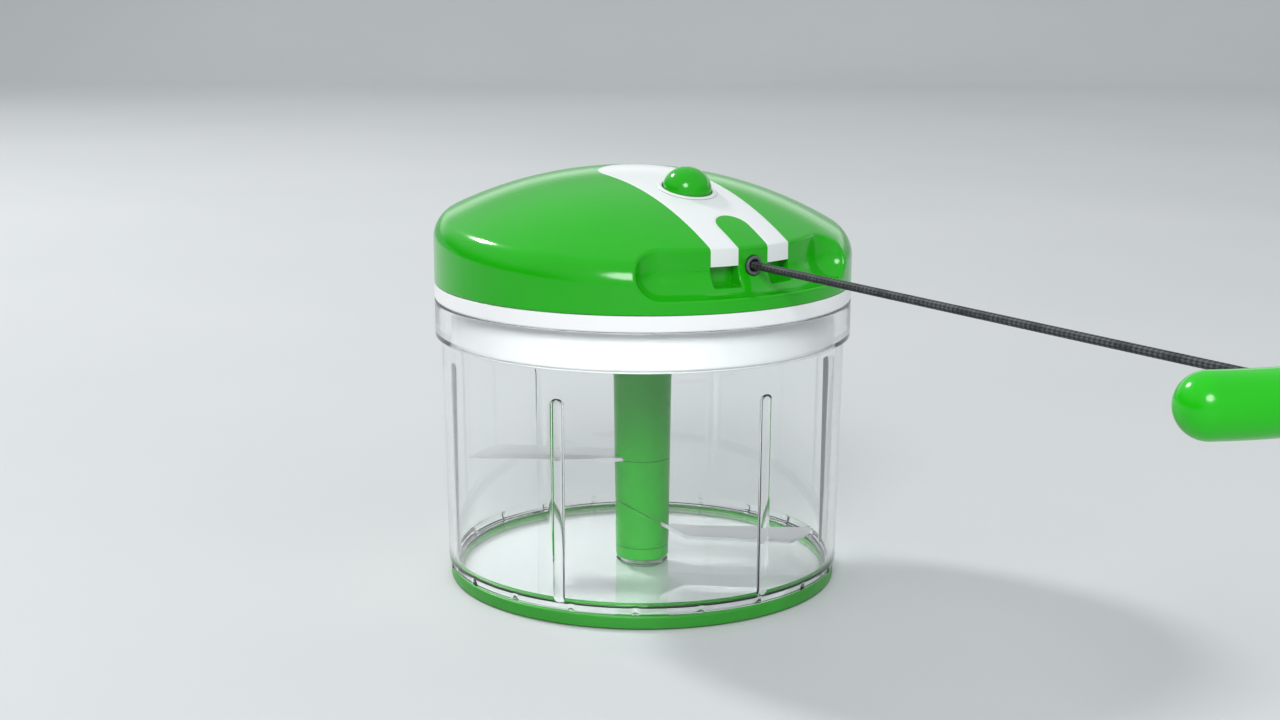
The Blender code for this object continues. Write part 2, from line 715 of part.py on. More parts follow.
# flat spiral return spring: equal steps outwards along a strip of steel
bm = bmesh.new()
TURNS, STEPS = 4.0, 14
strip = []
for i in range(int(TURNS * STEPS) + 1):
    t = math.tau * i / STEPS
    r = 6.2 + (23.6 - 6.2) * i / (TURNS * STEPS)
    strip.append([bm.verts.new((q * math.cos(t), q * math.sin(t), 96.0))
                  for q in (r, r + 0.6)])
for p, q in zip(strip, strip[1:]):
    bm.faces.new((p[0], p[1], q[1], q[0]))
grown = bmesh.ops.extrude_face_region(bm, geom=bm.faces[:])
bmesh.ops.translate(bm, vec=(0, 0, 4.2), verts=[
    g for g in grown["geom"] if isinstance(g, bmesh.types.BMVert)])
finish_mesh("return_spring", bm, STEEL)

on_axis(lathe("cord_reel", [
    (2.8, 96.0), (4.6, 96.0), (4.6, 101.7), (27.0, 101.7), (27.0, 103.3),
    (REEL_R - 1.4, 103.3), (REEL_R - 1.4, 108.3), (27.0, 108.3), (27.0, 109.9),
    (2.8, 109.9)], 28, NATURAL), reel_axis)
on_axis(lathe("wound_cord", [
    (REEL_R - 1.1, 103.6), (REEL_R + 1.15, 103.6), (REEL_R + 1.15, 108.0),
    (REEL_R - 1.1, 108.0)], 28, BRAID), reel_axis)
on_axis(lathe("drive_shaft", [
    (0, 79.0), (2.0, 79.0), (2.5, 79.5), (2.5, 118.1), (2.0, 118.6),
    (0, 118.6)], 20, STEEL), reel_axis)
on_axis(lathe("thrust_washer", [
    (2.8, 110.2), (6.0, 110.2), (6.0, 111.2), (2.8, 111.2)], 20, NATURAL),
    reel_axis)
for which, low, high in (("lower", 86.1, 93.6), ("upper", 111.9, 118.3)):
    lathe(which + "_bush", [(2.8, low), (4.2, low), (4.2, high), (2.8, high)],
          20, BRONZE)

coupler = on_axis(stack("drive_coupler", [
    hexagon(HEX_PLUG - 0.5, 4, 77.0), hexagon(HEX_PLUG, 4, 77.6),
    hexagon(HEX_PLUG, 4, 84.3), circle(6.0, 24, 84.3), circle(6.0, 24, 85.4),
], WHITE), reel_axis)
cut(coupler, lathe("coupler_bore", [(0, 78.7), (2.8, 78.7), (2.8, 90), (0, 90)],
                   20, None))

# ---- cord inside the lid: from the reel straight to the eyelet --------------

END = Vector((0, -51.0, CORD_Z))
lean = math.acos(REEL_R / -END.y)
touch = Vector((-REEL_R * math.sin(lean), -REEL_R * math.cos(lean), CORD_Z))
way = (END - touch).normalized()
start = touch + way * 10.3
tube("inner_cord", [tuple(start.lerp(END, i / 6)) for i in range(7)], CORD_R,
     BRAID)

# ---- handle on its cord -----------------------------------------------------

bar = []
for i in range(8):
    t = math.radians(-82 + 164 * i / 7)
    bar.append(arc_stadium(HANDLE_R * math.cos(t), CORD_Z + HANDLE_R * math.sin(t)))
handle = stack("handle", bar, GREEN)
PULLED = (0, -TRAVEL * MM, 0)
handle.location = PULLED


def along_cord(name, profile, mat, steps=16):
    ob = lathe(name, profile, steps, mat, axis="-Y")
    ob.location = (0, -TRAVEL * MM, CORD_Z * MM)
    return ob


cut(handle, along_cord("handle_bore", [
    (0, 50), (3.7, 50), (3.7, 58.3), (1.5, 59.5), (1.5, 62.0), (2.9, 62.0),
    (2.9, 75), (0, 75)], None))
along_cord("cord_knot", [(0, 62.4), (1.6, 62.4), (2.4, 63.4), (2.4, 66.6),
                         (1.6, 67.6), (0, 67.6)], BRAID)
along_cord("handle_plug", [(0, 68.0), (2.6, 68.0), (2.6, 71.3), (2.3, 71.6),
                           (0, 71.6)], GREEN, steps=20)

# ---- the cord between eyelet and handle, pulled straight --------------------

FROM_Y, TO_Y = -51.9, -(TRAVEL + 62.1)
tube("pull_cord", [(0, FROM_Y + (TO_Y - FROM_Y) * i / 40, CORD_Z)
                   for i in range(41)], CORD_R, BRAID)
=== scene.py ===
import math

import bmesh
import bpy
import numpy as np
from mathutils import Matrix, Vector


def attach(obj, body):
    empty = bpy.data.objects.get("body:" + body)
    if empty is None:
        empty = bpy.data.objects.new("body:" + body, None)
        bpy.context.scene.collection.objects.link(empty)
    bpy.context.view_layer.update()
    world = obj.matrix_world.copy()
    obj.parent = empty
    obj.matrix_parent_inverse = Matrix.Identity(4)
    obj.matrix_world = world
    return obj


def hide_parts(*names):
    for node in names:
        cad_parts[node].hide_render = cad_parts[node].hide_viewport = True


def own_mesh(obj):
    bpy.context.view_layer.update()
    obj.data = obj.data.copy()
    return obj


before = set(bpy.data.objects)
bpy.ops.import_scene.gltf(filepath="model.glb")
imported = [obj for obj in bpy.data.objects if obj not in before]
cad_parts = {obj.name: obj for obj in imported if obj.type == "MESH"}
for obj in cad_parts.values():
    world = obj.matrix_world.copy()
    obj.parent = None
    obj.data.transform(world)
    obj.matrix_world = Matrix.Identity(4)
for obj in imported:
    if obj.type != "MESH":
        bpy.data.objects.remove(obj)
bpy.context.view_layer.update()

MM = 0.001

# ---------------------------------------------------------------------------
# camera: the photographed view, looking at the lid's pull side from the left
# ---------------------------------------------------------------------------
TURN = math.radians(34.2)          # the pull side is turned this far to the right
PITCH = math.radians(11.888)
ROLL = math.radians(0.1367)


def turned(x, y, z):
    """A point or direction of the camera-side axes in the part's frame."""
    return Vector((x * math.cos(TURN) + y * math.sin(TURN),
                   -x * math.sin(TURN) + y * math.cos(TURN), z))


cam_data = bpy.data.cameras.new("camera")
cam = bpy.data.objects.new("camera", cam_data)
bpy.context.scene.collection.objects.link(cam)
forward = turned(0, math.cos(PITCH), -math.sin(PITCH))
right = turned(1, 0, 0)
up = right.cross(forward)
right, up = (right * math.cos(ROLL) + up * math.sin(ROLL),
             up * math.cos(ROLL) - right * math.sin(ROLL))
m = Matrix((right, up, -forward)).transposed().to_4x4()
m.translation = turned(-0.80 * MM, -611.07 * MM, 196.50 * MM)
cam.matrix_world = m
cam_data.sensor_fit = "HORIZONTAL"
cam_data.sensor_width = 36.0
cam_data.lens = 36.0 * 1975.0 / 1280.0
cam_data.clip_start = 0.01
cam_data.clip_end = 30.0
bpy.context.scene.camera = cam

# ---------------------------------------------------------------------------
# materials
# ---------------------------------------------------------------------------


class Nodes:
    """Short hand for building a node material."""

    def __init__(self, name):
        self.m = bpy.data.materials.new(name)
        self.m.use_nodes = True
        self.t = self.m.node_tree
        self.b = self.t.nodes["Principled BSDF"]
        self.out = self.t.nodes["Material Output"]
        self.co = self.add("ShaderNodeTexCoord")

    def add(self, kind, **sockets):
        n = self.t.nodes.new(kind)
        for k, v in sockets.items():
            k = k.replace("_", " ")
            if isinstance(v, bpy.types.NodeSocket):
                self.t.links.new(v, n.inputs[k])
            else:
                n.inputs[k].default_value = v
        return n

    def link(self, a, b):
        self.t.links.new(a, b)

    def noise(self, scale, detail=3.0, rough=0.5, stretch=(1, 1, 1), at=(0, 0, 0)):
        mp = self.add("ShaderNodeMapping", Scale=stretch, Location=at)
        self.link(self.co.outputs["Object"], mp.inputs["Vector"])
        n = self.add("ShaderNodeTexNoise", Scale=scale, Detail=detail,
                     Roughness=rough)
        self.link(mp.outputs["Vector"], n.inputs["Vector"])
        return n.outputs["Fac"]

    def ramp(self, fac, stops):
        r = self.add("ShaderNodeValToRGB")
        self.link(fac, r.inputs["Fac"])
        el = r.color_ramp.elements
        while len(el) < len(stops):
            el.new(0.5)
        for e, (pos, col) in zip(el, stops):
            e.position = pos
            e.color = (*col, 1.0) if len(col) == 3 else col
        return r.outputs["Color"]

    def span(self, fac, low, high, lo_in=0.3, hi_in=0.7):
        n = self.add("ShaderNodeMapRange")
        self.link(fac, n.inputs["Value"])
        n.inputs["From Min"].default_value = lo_in
        n.inputs["From Max"].default_value = hi_in
        n.inputs["To Min"].default_value = low
        n.inputs["To Max"].default_value = high
        return n.outputs["Result"]

    def bump(self, height, distance, strength=1.0, after=None):
        n = self.add("ShaderNodeBump", Strength=strength, Distance=distance)
        self.link(height, n.inputs["Height"])
        if after is not None:
            self.link(after, n.inputs["Normal"])
        return n.outputs["Normal"]


def moulded(name, colour, rough, spread=0.04, specular=0.5, grain=0.00001,
            coat=0.0, sss=0.0):
    """Injection-moulded plastic: faint tone drift, flow marks, fine grain."""
    n = Nodes(name)
    c = np.array(colour)
    drift = n.noise(22.0, 4.0, 0.55)
    base = n.ramp(drift, [(0.35, tuple(c * (1 - spread))),
                          (0.65, tuple(np.minimum(c * (1 + spread), 1.0)))])
    n.link(base, n.b.inputs["Base Color"])
    wear = n.noise(180.0, 5.0, 0.6, at=(0.3, 0.1, 0.2))
    n.link(n.span(wear, rough * 0.88, rough * 1.14), n.b.inputs["Roughness"])
    fine = n.noise(2600.0, 2.0, 0.5)
    slow = n.noise(60.0, 1.0, 0.4, at=(0.1, 0.5, 0.9))
    first = n.bump(slow, 0.00006, 0.35)
    n.link(n.bump(fine, grain, 0.5, after=first), n.b.inputs["Normal"])
    n.b.inputs["Specular IOR Level"].default_value = specular
    n.b.inputs["Coat Weight"].default_value = coat
    n.b.inputs["Coat Roughness"].default_value = 0.08
    if sss:
        n.b.inputs["Subsurface Weight"].default_value = sss
        n.b.inputs["Subsurface Radius"].default_value = (0.2, 1.0, 0.15)
        n.b.inputs["Subsurface Scale"].default_value = 0.002
    return n.m


GREEN = moulded("lid_green", (0.010, 0.385, 0.003), 0.15, specular=0.40)
GREEN_HANDLE = moulded("handle_green", (0.012, 0.50, 0.004), 0.17, specular=0.40)
GREEN_COLUMN = moulded("column_green", (0.004, 0.33, 0.002), 0.30, specular=0.22)
WHITE = moulded("white_plastic", (0.885, 0.893, 0.898), 0.24, spread=0.010)
# painted shade: a darker copy of the white plastic for the strip and the button ring,
# whose faces turn up into the light
WHITE_SHADED = moulded("strip_white", (0.74, 0.77, 0.765), 0.24, spread=0.010)
NATURAL = moulded("natural_plastic", (0.68, 0.66, 0.60), 0.42, spread=0.03)
GREY = moulded("grey_plastic", (0.10, 0.11, 0.115), 0.38, spread=0.06)


def soft_green():
    n = Nodes("ring_green")
    base = n.ramp(n.noise(30.0, 4.0, 0.6), [(0.3, (0.018, 0.255, 0.013)),
                                            (0.7, (0.024, 0.315, 0.018))])
    n.link(base, n.b.inputs["Base Color"])
    n.link(n.span(n.noise(240.0, 4.0), 0.34, 0.46), n.b.inputs["Roughness"])
    n.link(n.bump(n.noise(1500.0, 2.0), 0.00002, 0.5), n.b.inputs["Normal"])
    return n.m


def clear():
    """Clear styrene: light bends through it, and its shadow stays light."""
    n = Nodes("clear_plastic")
    tint = n.ramp(n.noise(14.0, 3.0), [(0.3, (0.972, 0.984, 0.982)),
                                       (0.7, (0.985, 0.992, 0.990))])
    n.link(tint, n.b.inputs["Base Color"])
    n.b.inputs["Transmission Weight"].default_value = 1.0
    n.b.inputs["IOR"].default_value = 1.5
    n.link(n.span(n.noise(90.0, 4.0), 0.0, 0.02), n.b.inputs["Roughness"])
    n.link(n.bump(n.noise(26.0, 2.0, 0.4), 0.00004, 0.25), n.b.inputs["Normal"])
    see = n.add("ShaderNodeBsdfTransparent")
    see.inputs["Color"].default_value = (0.93, 0.95, 0.95, 1)
    path = n.add("ShaderNodeLightPath")
    mix = n.add("ShaderNodeMixShader")
    n.link(path.outputs["Is Shadow Ray"], mix.inputs["Fac"])
    n.link(n.b.outputs["BSDF"], mix.inputs[1])
    n.link(see.outputs["BSDF"], mix.inputs[2])
    n.link(mix.outputs["Shader"], n.out.inputs["Surface"])
    return n.m


def metal(name, colour, rough, stretch, scale, depth, spread=0.08):
    n = Nodes(name)
    c = np.array(colour)
    lines = n.noise(scale, 6.0, 0.65, stretch=stretch)
    base = n.ramp(lines, [(0.3, tuple(c * (1 - 1.25 * spread))),
                          (0.7, tuple(c * (1 + 0.75 * spread)))])
    n.link(base, n.b.inputs["Base Color"])
    n.b.inputs["Metallic"].default_value = 1.0
    n.link(n.span(lines, rough * (1 - 2.5 * spread), rough * (1 + 3.75 * spread)),
           n.b.inputs["Roughness"])
    n.link(n.bump(lines, depth, 0.4), n.b.inputs["Normal"])
    return n.m


STEEL = metal("steel", (0.60, 0.61, 0.62), 0.22, (1, 1, 1), 320.0, 0.00001)
BLADE = metal("blade_steel", (0.72, 0.725, 0.73), 0.30, (1, 1, 6), 420.0,
              0.0000008, spread=0.02)
BRONZE = metal("bronze", (0.50, 0.30, 0.13), 0.35, (1, 1, 1), 500.0, 0.00002)


def rubber():
    n = Nodes("rubber")
    n.link(n.ramp(n.noise(60.0, 4.0), [(0.3, (0.018, 0.018, 0.018)),
                                       (0.7, (0.032, 0.032, 0.032))]),
           n.b.inputs["Base Color"])
    n.link(n.span(n.noise(300.0), 0.6, 0.8), n.b.inputs["Roughness"])
    n.link(n.bump(n.noise(900.0), 0.00003, 0.5), n.b.inputs["Normal"])
    return n.m


RUBBER = rubber()


def braid():
    """Dark polyester braid: yarn tone from noise, painted light and shade on the
    crossing strands, fuzz in the roughness.
    """
    n = Nodes("braided_cord")
    fibres = n.noise(900.0, 5.0, 0.7, stretch=(1, 0.35, 1))
    patch = n.noise(120.0, 3.0, 0.5)
    add = n.add("ShaderNodeMath")
    add.operation = "ADD"
    n.link(fibres, add.inputs[0])
    n.link(patch, add.inputs[1])
    base = n.ramp(add.outputs[0], [(0.35, (0.006, 0.007, 0.008)),
                                   (0.85, (0.018, 0.020, 0.022)),
                                   (1.0, (0.040, 0.044, 0.047))])

    def sum_of(op, a, b):
        m = n.add("ShaderNodeMath")
        m.operation = op
        for socket, v in zip(m.inputs, (a, b)):
            if isinstance(v, float):
                socket.default_value = v
            elif v is not None:
                n.link(v, socket)
        return m.outputs[0]
    # painted light and shade: the strands that lie on top are painted lighter and the
    # ones beneath painted darker, in step with the mesh
    xyz = n.add("ShaderNodeSeparateXYZ")
    n.link(n.add("ShaderNodeTexCoord").outputs["Object"], xyz.inputs[0])
    turn = sum_of("ARCTAN2", sum_of("SUBTRACT", xyz.outputs[2], 0.1058),
                  sum_of("MULTIPLY", xyz.outputs[0], -1.0))
    turn = sum_of("MULTIPLY", turn, 4 / math.pi)
    along = sum_of("SUBTRACT", sum_of("MULTIPLY", xyz.outputs[1], -625.0), 32.4375)
    one = sum_of("FLOOR", sum_of("ADD", turn, along), None)
    two = sum_of("FLOOR", sum_of("SUBTRACT", turn, along), None)
    over = sum_of("FLOORED_MODULO", sum_of("ADD", one, two), 2.0)
    tone = n.add("ShaderNodeMix")
    tone.data_type = "RGBA"
    tone.blend_type = "MULTIPLY"
    tone.inputs[0].default_value = 1.0
    n.link(base, tone.inputs[6])
    n.link(n.ramp(over, [(0.25, (0.45, 0.45, 0.45)), (0.75, (1.9, 1.9, 1.9))]),
           tone.inputs[7])
    n.link(tone.outputs[2], n.b.inputs["Base Color"])
    n.link(n.span(fibres, 0.55, 0.75), n.b.inputs["Roughness"])
    n.link(n.bump(fibres, 0.00005, 0.6), n.b.inputs["Normal"])
    n.b.inputs["Specular IOR Level"].default_value = 0.35
    n.b.inputs["Sheen Weight"].default_value = 0.04
    n.b.inputs["Sheen Roughness"].default_value = 0.4
    return n.m


BRAID = braid()

# ---------------------------------------------------------------------------
# mesh helpers (millimetres in, metres out)
# ---------------------------------------------------------------------------


def make(name, verts, faces, mat, body, replaces=(), sharp=None,
         normals=None, weighted=False):
    mesh = bpy.data.meshes.new(name)
    mesh.from_pydata([tuple(v) for v in np.asarray(verts, float) * MM], [],
                     [tuple(int(i) for i in f) for f in faces])
    mesh.validate(clean_customdata=False)
    bm = bmesh.new()
    bm.from_mesh(mesh)
    if normals is None:
        bmesh.ops.recalc_face_normals(bm, faces=bm.faces)
        bm.to_mesh(mesh)
    bm.free()
    mesh.shade_smooth()
    if sharp is not None:
        mesh.set_sharp_from_angle(angle=math.radians(sharp))
    if normals is not None:
        mesh.normals_split_custom_set_from_vertices(
            [tuple(v) for v in np.asarray(normals, float)])
    mesh.materials.append(mat)
    ob = bpy.data.objects.new(name, mesh)
    bpy.context.scene.collection.objects.link(ob)
    if weighted:
        w = ob.modifiers.new("weighted", "WEIGHTED_NORMAL")
        w.keep_sharp = True
        w.weight = 50
    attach(ob, body)
    if replaces:
        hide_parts(*replaces)
    return ob


def round_off(points, radius, closed=True, seg=5, special=None):
    """Replaces each corner of an outline by a tangent arc."""
    special = special or {}
    n = len(points)
    pts = [np.array(p, float) for p in points]
    out = []
    for i in range(n):
        r = special.get(i, radius)
        if (not closed and i in (0, n - 1)) or r <= 0:
            out.append(pts[i])
            continue
        p, c, q = pts[i - 1], pts[i], pts[(i + 1) % n]
        a, b = p - c, q - c
        la, lb = np.linalg.norm(a), np.linalg.norm(b)
        if la < 1e-9 or lb < 1e-9:
            out.append(c)
            continue
        a, b = a / la, b / lb
        cosang = float(np.clip(a @ b, -1, 1))
        ang = math.acos(cosang)
        if ang > math.radians(176):
            out.append(c)
            continue
        t = r / math.tan(ang / 2)
        t = min(t, 0.48 * la, 0.48 * lb)
        rr = t * math.tan(ang / 2)
        centre = c + (a + b) / np.linalg.norm(a + b) * (rr / math.sin(ang / 2))
        s, e = c + a * t - centre, c + b * t - centre
        sweep = math.pi - ang
        for k in range(seg + 1):
            f = k / seg
            w0 = math.sin((1 - f) * sweep) / math.sin(sweep)
            w1 = math.sin(f * sweep) / math.sin(sweep)
            out.append(centre + s * w0 + e * w1)
    return out


def subdivide(points, longest, closed=True):
    out = []
    n = len(points)
    for i in range(n if closed else n - 1):
        p, q = np.array(points[i]), np.array(points[(i + 1) % n])
        k = max(1, int(math.ceil(np.linalg.norm(q - p) / longest)))
        for j in range(k):
            out.append(p + (q - p) * j / k)
    if not closed:
        out.append(np.array(points[-1]))
    return out


def revolve(profile, n):
    """Vertices and faces of an outline of (radius, height) turned about Z."""
    verts, index = [], []
    for r, z in profile:
        if r < 1e-6:
            index.append([len(verts)] * n)
            verts.append((0.0, 0.0, z))
        else:
            start = len(verts)
            index.append(list(range(start, start + n)))
            for k in range(n):
                t = math.tau * k / n
                verts.append((r * math.cos(t), r * math.sin(t), z))
    faces = []
    count = len(profile)
    for i in range(count):
        a, b = index[i], index[(i + 1) % count]
        if a[0] == a[-1] and b[0] == b[-1]:
            continue
        for k in range(n):
            q = (k + 1) % n
            ring = [a[k], a[q], b[q], b[k]]
            ring = [v for j, v in enumerate(ring) if v != ring[j - 1]]
            faces.append(ring)
    return np.array(verts), faces


def lathe(name, profile, n, mat, body, node=None, matrix=None, radius=0.0,
          seg=4, special=None, sharp=None, weighted=True):
    """A turned piece with softened corners, replacing the CAD node it stands for."""
    if radius or special:
        skip = {i: 0 for i, p in enumerate(profile) if p[0] < 1e-6}
        skip.update(special or {})
        profile = round_off(profile, radius, seg=seg, special=skip)
    verts, faces = revolve(profile, n)
    if matrix is not None:
        verts = np.array([tuple(matrix @ Vector(v)) for v in verts])
    return make(name, verts, faces, mat, body,
                replaces=(node,) if node else (), sharp=sharp, weighted=weighted)


def skin_loops(loops, cap_low=True, cap_high=True):
    n = len(loops[0])
    verts = [p for loop in loops for p in loop]
    faces = []
    for i in range(len(loops) - 1):
        for k in range(n):
            q = (k + 1) % n
            faces.append((i * n + k, i * n + q, (i + 1) * n + q, (i + 1) * n + k))
    if cap_low:
        faces.append(tuple(range(n)))
    if cap_high:
        faces.append(tuple(range((len(loops) - 1) * n, len(loops) * n)))
    return verts, faces


def give(node, mat):
    """Puts a finish on a CAD node that stays as it is."""
    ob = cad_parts[node]
    data = ob.data
    if len(data.materials) == 0:
        data.materials.append(mat)
    for i in range(len(data.materials)):
        data.materials[i] = mat


# ---------------------------------------------------------------------------
# the cord between the lid's eyelet and the handle: a tight braid
# ---------------------------------------------------------------------------
TRAVEL = 192.7
CORD_Z = 105.8
CORD_R = 1.15
CORD_FROM, CORD_TO = -51.9, -(TRAVEL + 62.1)


def braided_tube(name, start, end, radius, mat, body, node):
    """A straight tube whose skin carries the crossing strands of a braid."""
    start, end = np.array(start, float), np.array(end, float)
    length = np.linalg.norm(end - start)
    way = (end - start) / length
    side = np.cross(way, (0, 0, 1.0))
    side /= np.linalg.norm(side)
    top = np.cross(side, way)
    rings, n = int(length / 0.16), 48
    pitch, strands = 12.8, 8
    verts, faces = [], []
    for i in range(rings + 1):
        s = length * i / rings
        for k in range(n):
            t = math.tau * k / n
            a = (t * strands / 2 + math.tau * s / pitch * strands / 2) / math.pi
            b = (t * strands / 2 - math.tau * s / pitch * strands / 2) / math.pi
            fa, fb = a % 1.0 - 0.5, b % 1.0 - 0.5
            over = (int(math.floor(a)) + int(math.floor(b))) % 2
            ha = math.sqrt(max(0.0, 1 - (2 * fa) ** 2 * 0.9))
            hb = math.sqrt(max(0.0, 1 - (2 * fb) ** 2 * 0.9))
            bulge = (ha * (0.9 if over else 0.25) + hb * (0.25 if over else 0.9))
            r = radius * (0.84 + 0.175 * min(bulge, 1.0))
            verts.append(start + way * s + side * (r * math.cos(t))
                         + top * (r * math.sin(t)))
    for i in range(rings):
        for k in range(n):
            q = (k + 1) % n
            faces.append((i * n + k, i * n + q, (i + 1) * n + q, (i + 1) * n + k))
    faces.append(tuple(range(n)))
    faces.append(tuple(range(rings * n, (rings + 1) * n)))
    return make(name, verts, faces, mat, body, replaces=(node,))


cord = braided_tube("cord_braid", (0, CORD_FROM, CORD_Z), (0, CORD_TO, CORD_Z),
                    CORD_R, BRAID, "lid", "pull_cord")
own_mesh(cord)

# ---------------------------------------------------------------------------
# bowl: turned walls, with ribs on the inside and small feet round the outside
# ---------------------------------------------------------------------------
RIB_TOP, RIB_TIP_R, RIB_TURN = 68.1, 58.8, 1.9


def smooth(x):
    x = np.clip(x, 0.0, 1.0)
    return x * x * (3 - 2 * x)


def bowl_mesh():
    outline = [
        (0, 0.5), (7.0, 0.5), (8.1, 1.9), (58.4, 1.9), (59.3, 2.8), (59.3, 4.2),
        (61.7, 4.55), (61.85, 6.2), (63.1, 77.15), (65.0, 77.65), (65.0, 89.1),
        (60.8, 89.1), (59.5, 8.0), (58.2, 5.8), (58.15, 3.9),
        (2.8, 3.9), (2.8, 1.0), (0, 1.0)]
    radii = {0: 0, 1: 0.5, 2: 0.5, 3: 0.8, 4: 0.4, 5: 0.3, 6: 0.6, 7: 1.0, 8: 0.4,
             9: 0.5, 10: 0.5, 11: 0.3, 12: 0.35, 13: 0.35, 14: 1.0,
             15: 0.2, 16: 0.1, 17: 0}
    prof = round_off(outline, 0.0, seg=9, special=radii)
    prof = subdivide(prof, 1.6, closed=False)
    rim = int(np.argmax([q[1] for q in prof]))
    # closer rows where the ribs end
    rows = []
    for i, (p, q) in enumerate(zip(prof, prof[1:] + prof[-1:])):
        rows.append(p)
        if i > rim and p[0] > 59 and max(p[1], q[1]) > 65.6 and min(p[1], q[1]) < 68.6:
            k = int(math.ceil(np.linalg.norm(q - p) / 0.14))
            rows += [p + (q - p) * j / k for j in range(1, k)]
    prof = np.array(rows)
    rim = int(np.argmax(prof[:, 1]))
    ribs = [RIB_TURN + 60.0 * k for k in range(6)]
    nubs = [18.0 * k for k in range(20)]
    angles = []
    t = 0.0
    while t < 360.0 - 1e-9:
        near = min(abs((t - q + 180.0) % 360.0 - 180.0) for q in ribs)
        near_n = min(abs((t - q + 180.0) % 360.0 - 180.0) for q in nubs)
        angles.append(t)
        t += 0.12 if near < 2.4 else (0.3 if near_n < 1.8 else 1.0)
    angles = np.radians(angles)
    n = len(angles)
    verts, index = [], []
    for i, (r, z) in enumerate(prof):
        if r < 1e-6:
            index.append([len(verts)] * n)
            verts.append((0, 0, z))
            continue
        rr = np.full(n, r)
        if i > rim and 3.95 < z < RIB_TOP and r > RIB_TIP_R:
            end = max(0.0, (z - (RIB_TOP - 2.0)) / 2.0)
            for q in ribs:
                off = (angles - math.radians(q) + math.pi) % math.tau - math.pi
                e = (off * 59.4 / 2.0) ** 2 + end ** 2
                tip = RIB_TIP_R + 1.2 * (1 - np.sqrt(np.maximum(0.0, 1 - e)))
                rr = np.where(e < 1.0, np.minimum(rr, tip), rr)
        if i <= rim and 4.3 < z < 6.4 and r > 60:
            for q in nubs:
                off = (angles - math.radians(q) + math.pi) % math.tau - math.pi
                x = np.abs(off) * 61.5
                rr = rr + 0.38 * smooth((1.25 - x) / 0.8) * smooth((6.4 - z) / 0.8)
        start = len(verts)
        index.append(list(range(start, start + n)))
        # angle 0 points to the pull side
        verts += [(a * math.sin(b), -a * math.cos(b), z) for a, b in zip(rr, angles)]
    faces = []
    for i in range(len(prof) - 1):
        a, b = index[i], index[i + 1]
        for k in range(n):
            q = (k + 1) % n
            ring = [a[k], a[q], b[q], b[k]]
            ring = [v for j, v in enumerate(ring) if v != ring[j - 1]]
            if len(ring) > 2:
                faces.append(ring)
    return np.array(verts), faces


bv, bf = bowl_mesh()
make("bowl_clear", bv, bf, clear(), "bowl", replaces=("bowl",))

lathe("ring_soft", [
    (57.9, 0), (61.15, 0), (61.15, 3.9), (59.6, 3.9), (59.6, 1.6), (57.9, 1.6)],
    256, soft_green(), "bowl", "base_ring", radius=0.35,
    special={1: 0.5, 2: 0.55, 3: 0.4, 5: 0.5, 0: 0.4})
lathe("pin_steel", [(0, 1.3), (2.5, 1.3), (2.5, 29.8), (1.1, 32.0), (0, 32.0)],
      48, STEEL, "bowl", "bowl_pin", radius=0.3)

# ---------------------------------------------------------------------------
# blade column
# ---------------------------------------------------------------------------
COL_R, SEAT, LIP_R = 8.45, 5.2, 7.75
SLANT = (17.9, -0.6092, 0.0875)
BLADE_T = 1.2
UPPER_Z, LOWER_Z = 37.0, 12.0
TO_UPPER, TO_LOWER = 180.0 - 34.2, -34.2
SEAM = 0.10                        # half the gap between two lips


def col_r(z):
    return COL_R + 0.0133 * (z - 8.0)


def slant(x, y):
    return SLANT[0] + SLANT[1] * x + SLANT[2] * y


SLOPE = math.sqrt(1 + SLANT[1] ** 2 + SLANT[2] ** 2)
LIFT = (BLADE_T / 2 + 0.05) * SLOPE
ROUND = 128


def ring(r, height):
    pts = []
    for k in range(ROUND):
        t = math.tau * k / ROUND
        x, y = r * math.cos(t), r * math.sin(t)
        pts.append((x, y, height(x, y) if callable(height) else height))
    return pts


def lipped(height, lip, towards):
    """A seat's height with the lip round it, which is open for the blade's arm."""
    def rule(x, y):
        away = abs((math.degrees(math.atan2(y, x)) - towards + 180.0) % 360.0 - 180.0)
        z = height(x, y) if callable(height) else height
        return z + (lip if away > 46.5 else math.copysign(0.02, lip))
    return rule


def lifted(height, dz):
    def rule(x, y):
        return (height(x, y) if callable(height) else height) + dz
    return rule


def pipe(name, rows, node):
    loops = [ring(r, h) for r, h in rows]
    verts, faces = skin_loops(loops, False, False)
    total = len(loops)
    for k in range(ROUND):
        q = (k + 1) % ROUND
        faces.append(((total - 1) * ROUND + k, (total - 1) * ROUND + q, q, k))
    return make(name, verts, faces, GREEN_COLUMN, "blades",
                replaces=(node,), sharp=50, weighted=True)


def edge_low(r, height, c=0.12):
    """Rings of a broken edge, from the end face up on to the skin."""
    return [(r - c, height), (r - 0.3 * c, lifted(height, 0.3 * c)),
            (r, lifted(height, c))]


def edge_high(r, height, c=0.12):
    return [(r, lifted(height, -c)), (r - 0.3 * c, lifted(height, -0.3 * c)),
            (r - c, height)]


def skin(r0, h0, r1, h1, count):
    """Rings along the outside between two rings."""
    rows = []
    for i in range(1, count):
        f = i / count

        def rule(x, y, f=f):
            a = h0(x, y) if callable(h0) else h0
            b = h1(x, y) if callable(h1) else h1
            return a * (1 - f) + b * f
        rows.append((r0 + (r1 - r0) * f, rule))
    return rows


def under_lower(x, y):
    return slant(x, y) - LIFT


def over_lower(x, y):
    return slant(x, y) + LIFT


UP = BLADE_T / 2 + 0.05
lip_1 = lipped(under_lower, LIFT - SEAM, TO_LOWER)
lip_2 = lipped(over_lower, SEAM - LIFT, TO_LOWER)
lip_3 = lipped(UPPER_Z - UP, UP - SEAM, TO_UPPER)
lip_4 = lipped(UPPER_Z + UP, SEAM - UP, TO_UPPER)
R_LOW, R_HIGH, R_TOP = col_r(17.9), col_r(37.0), col_r(84.0)

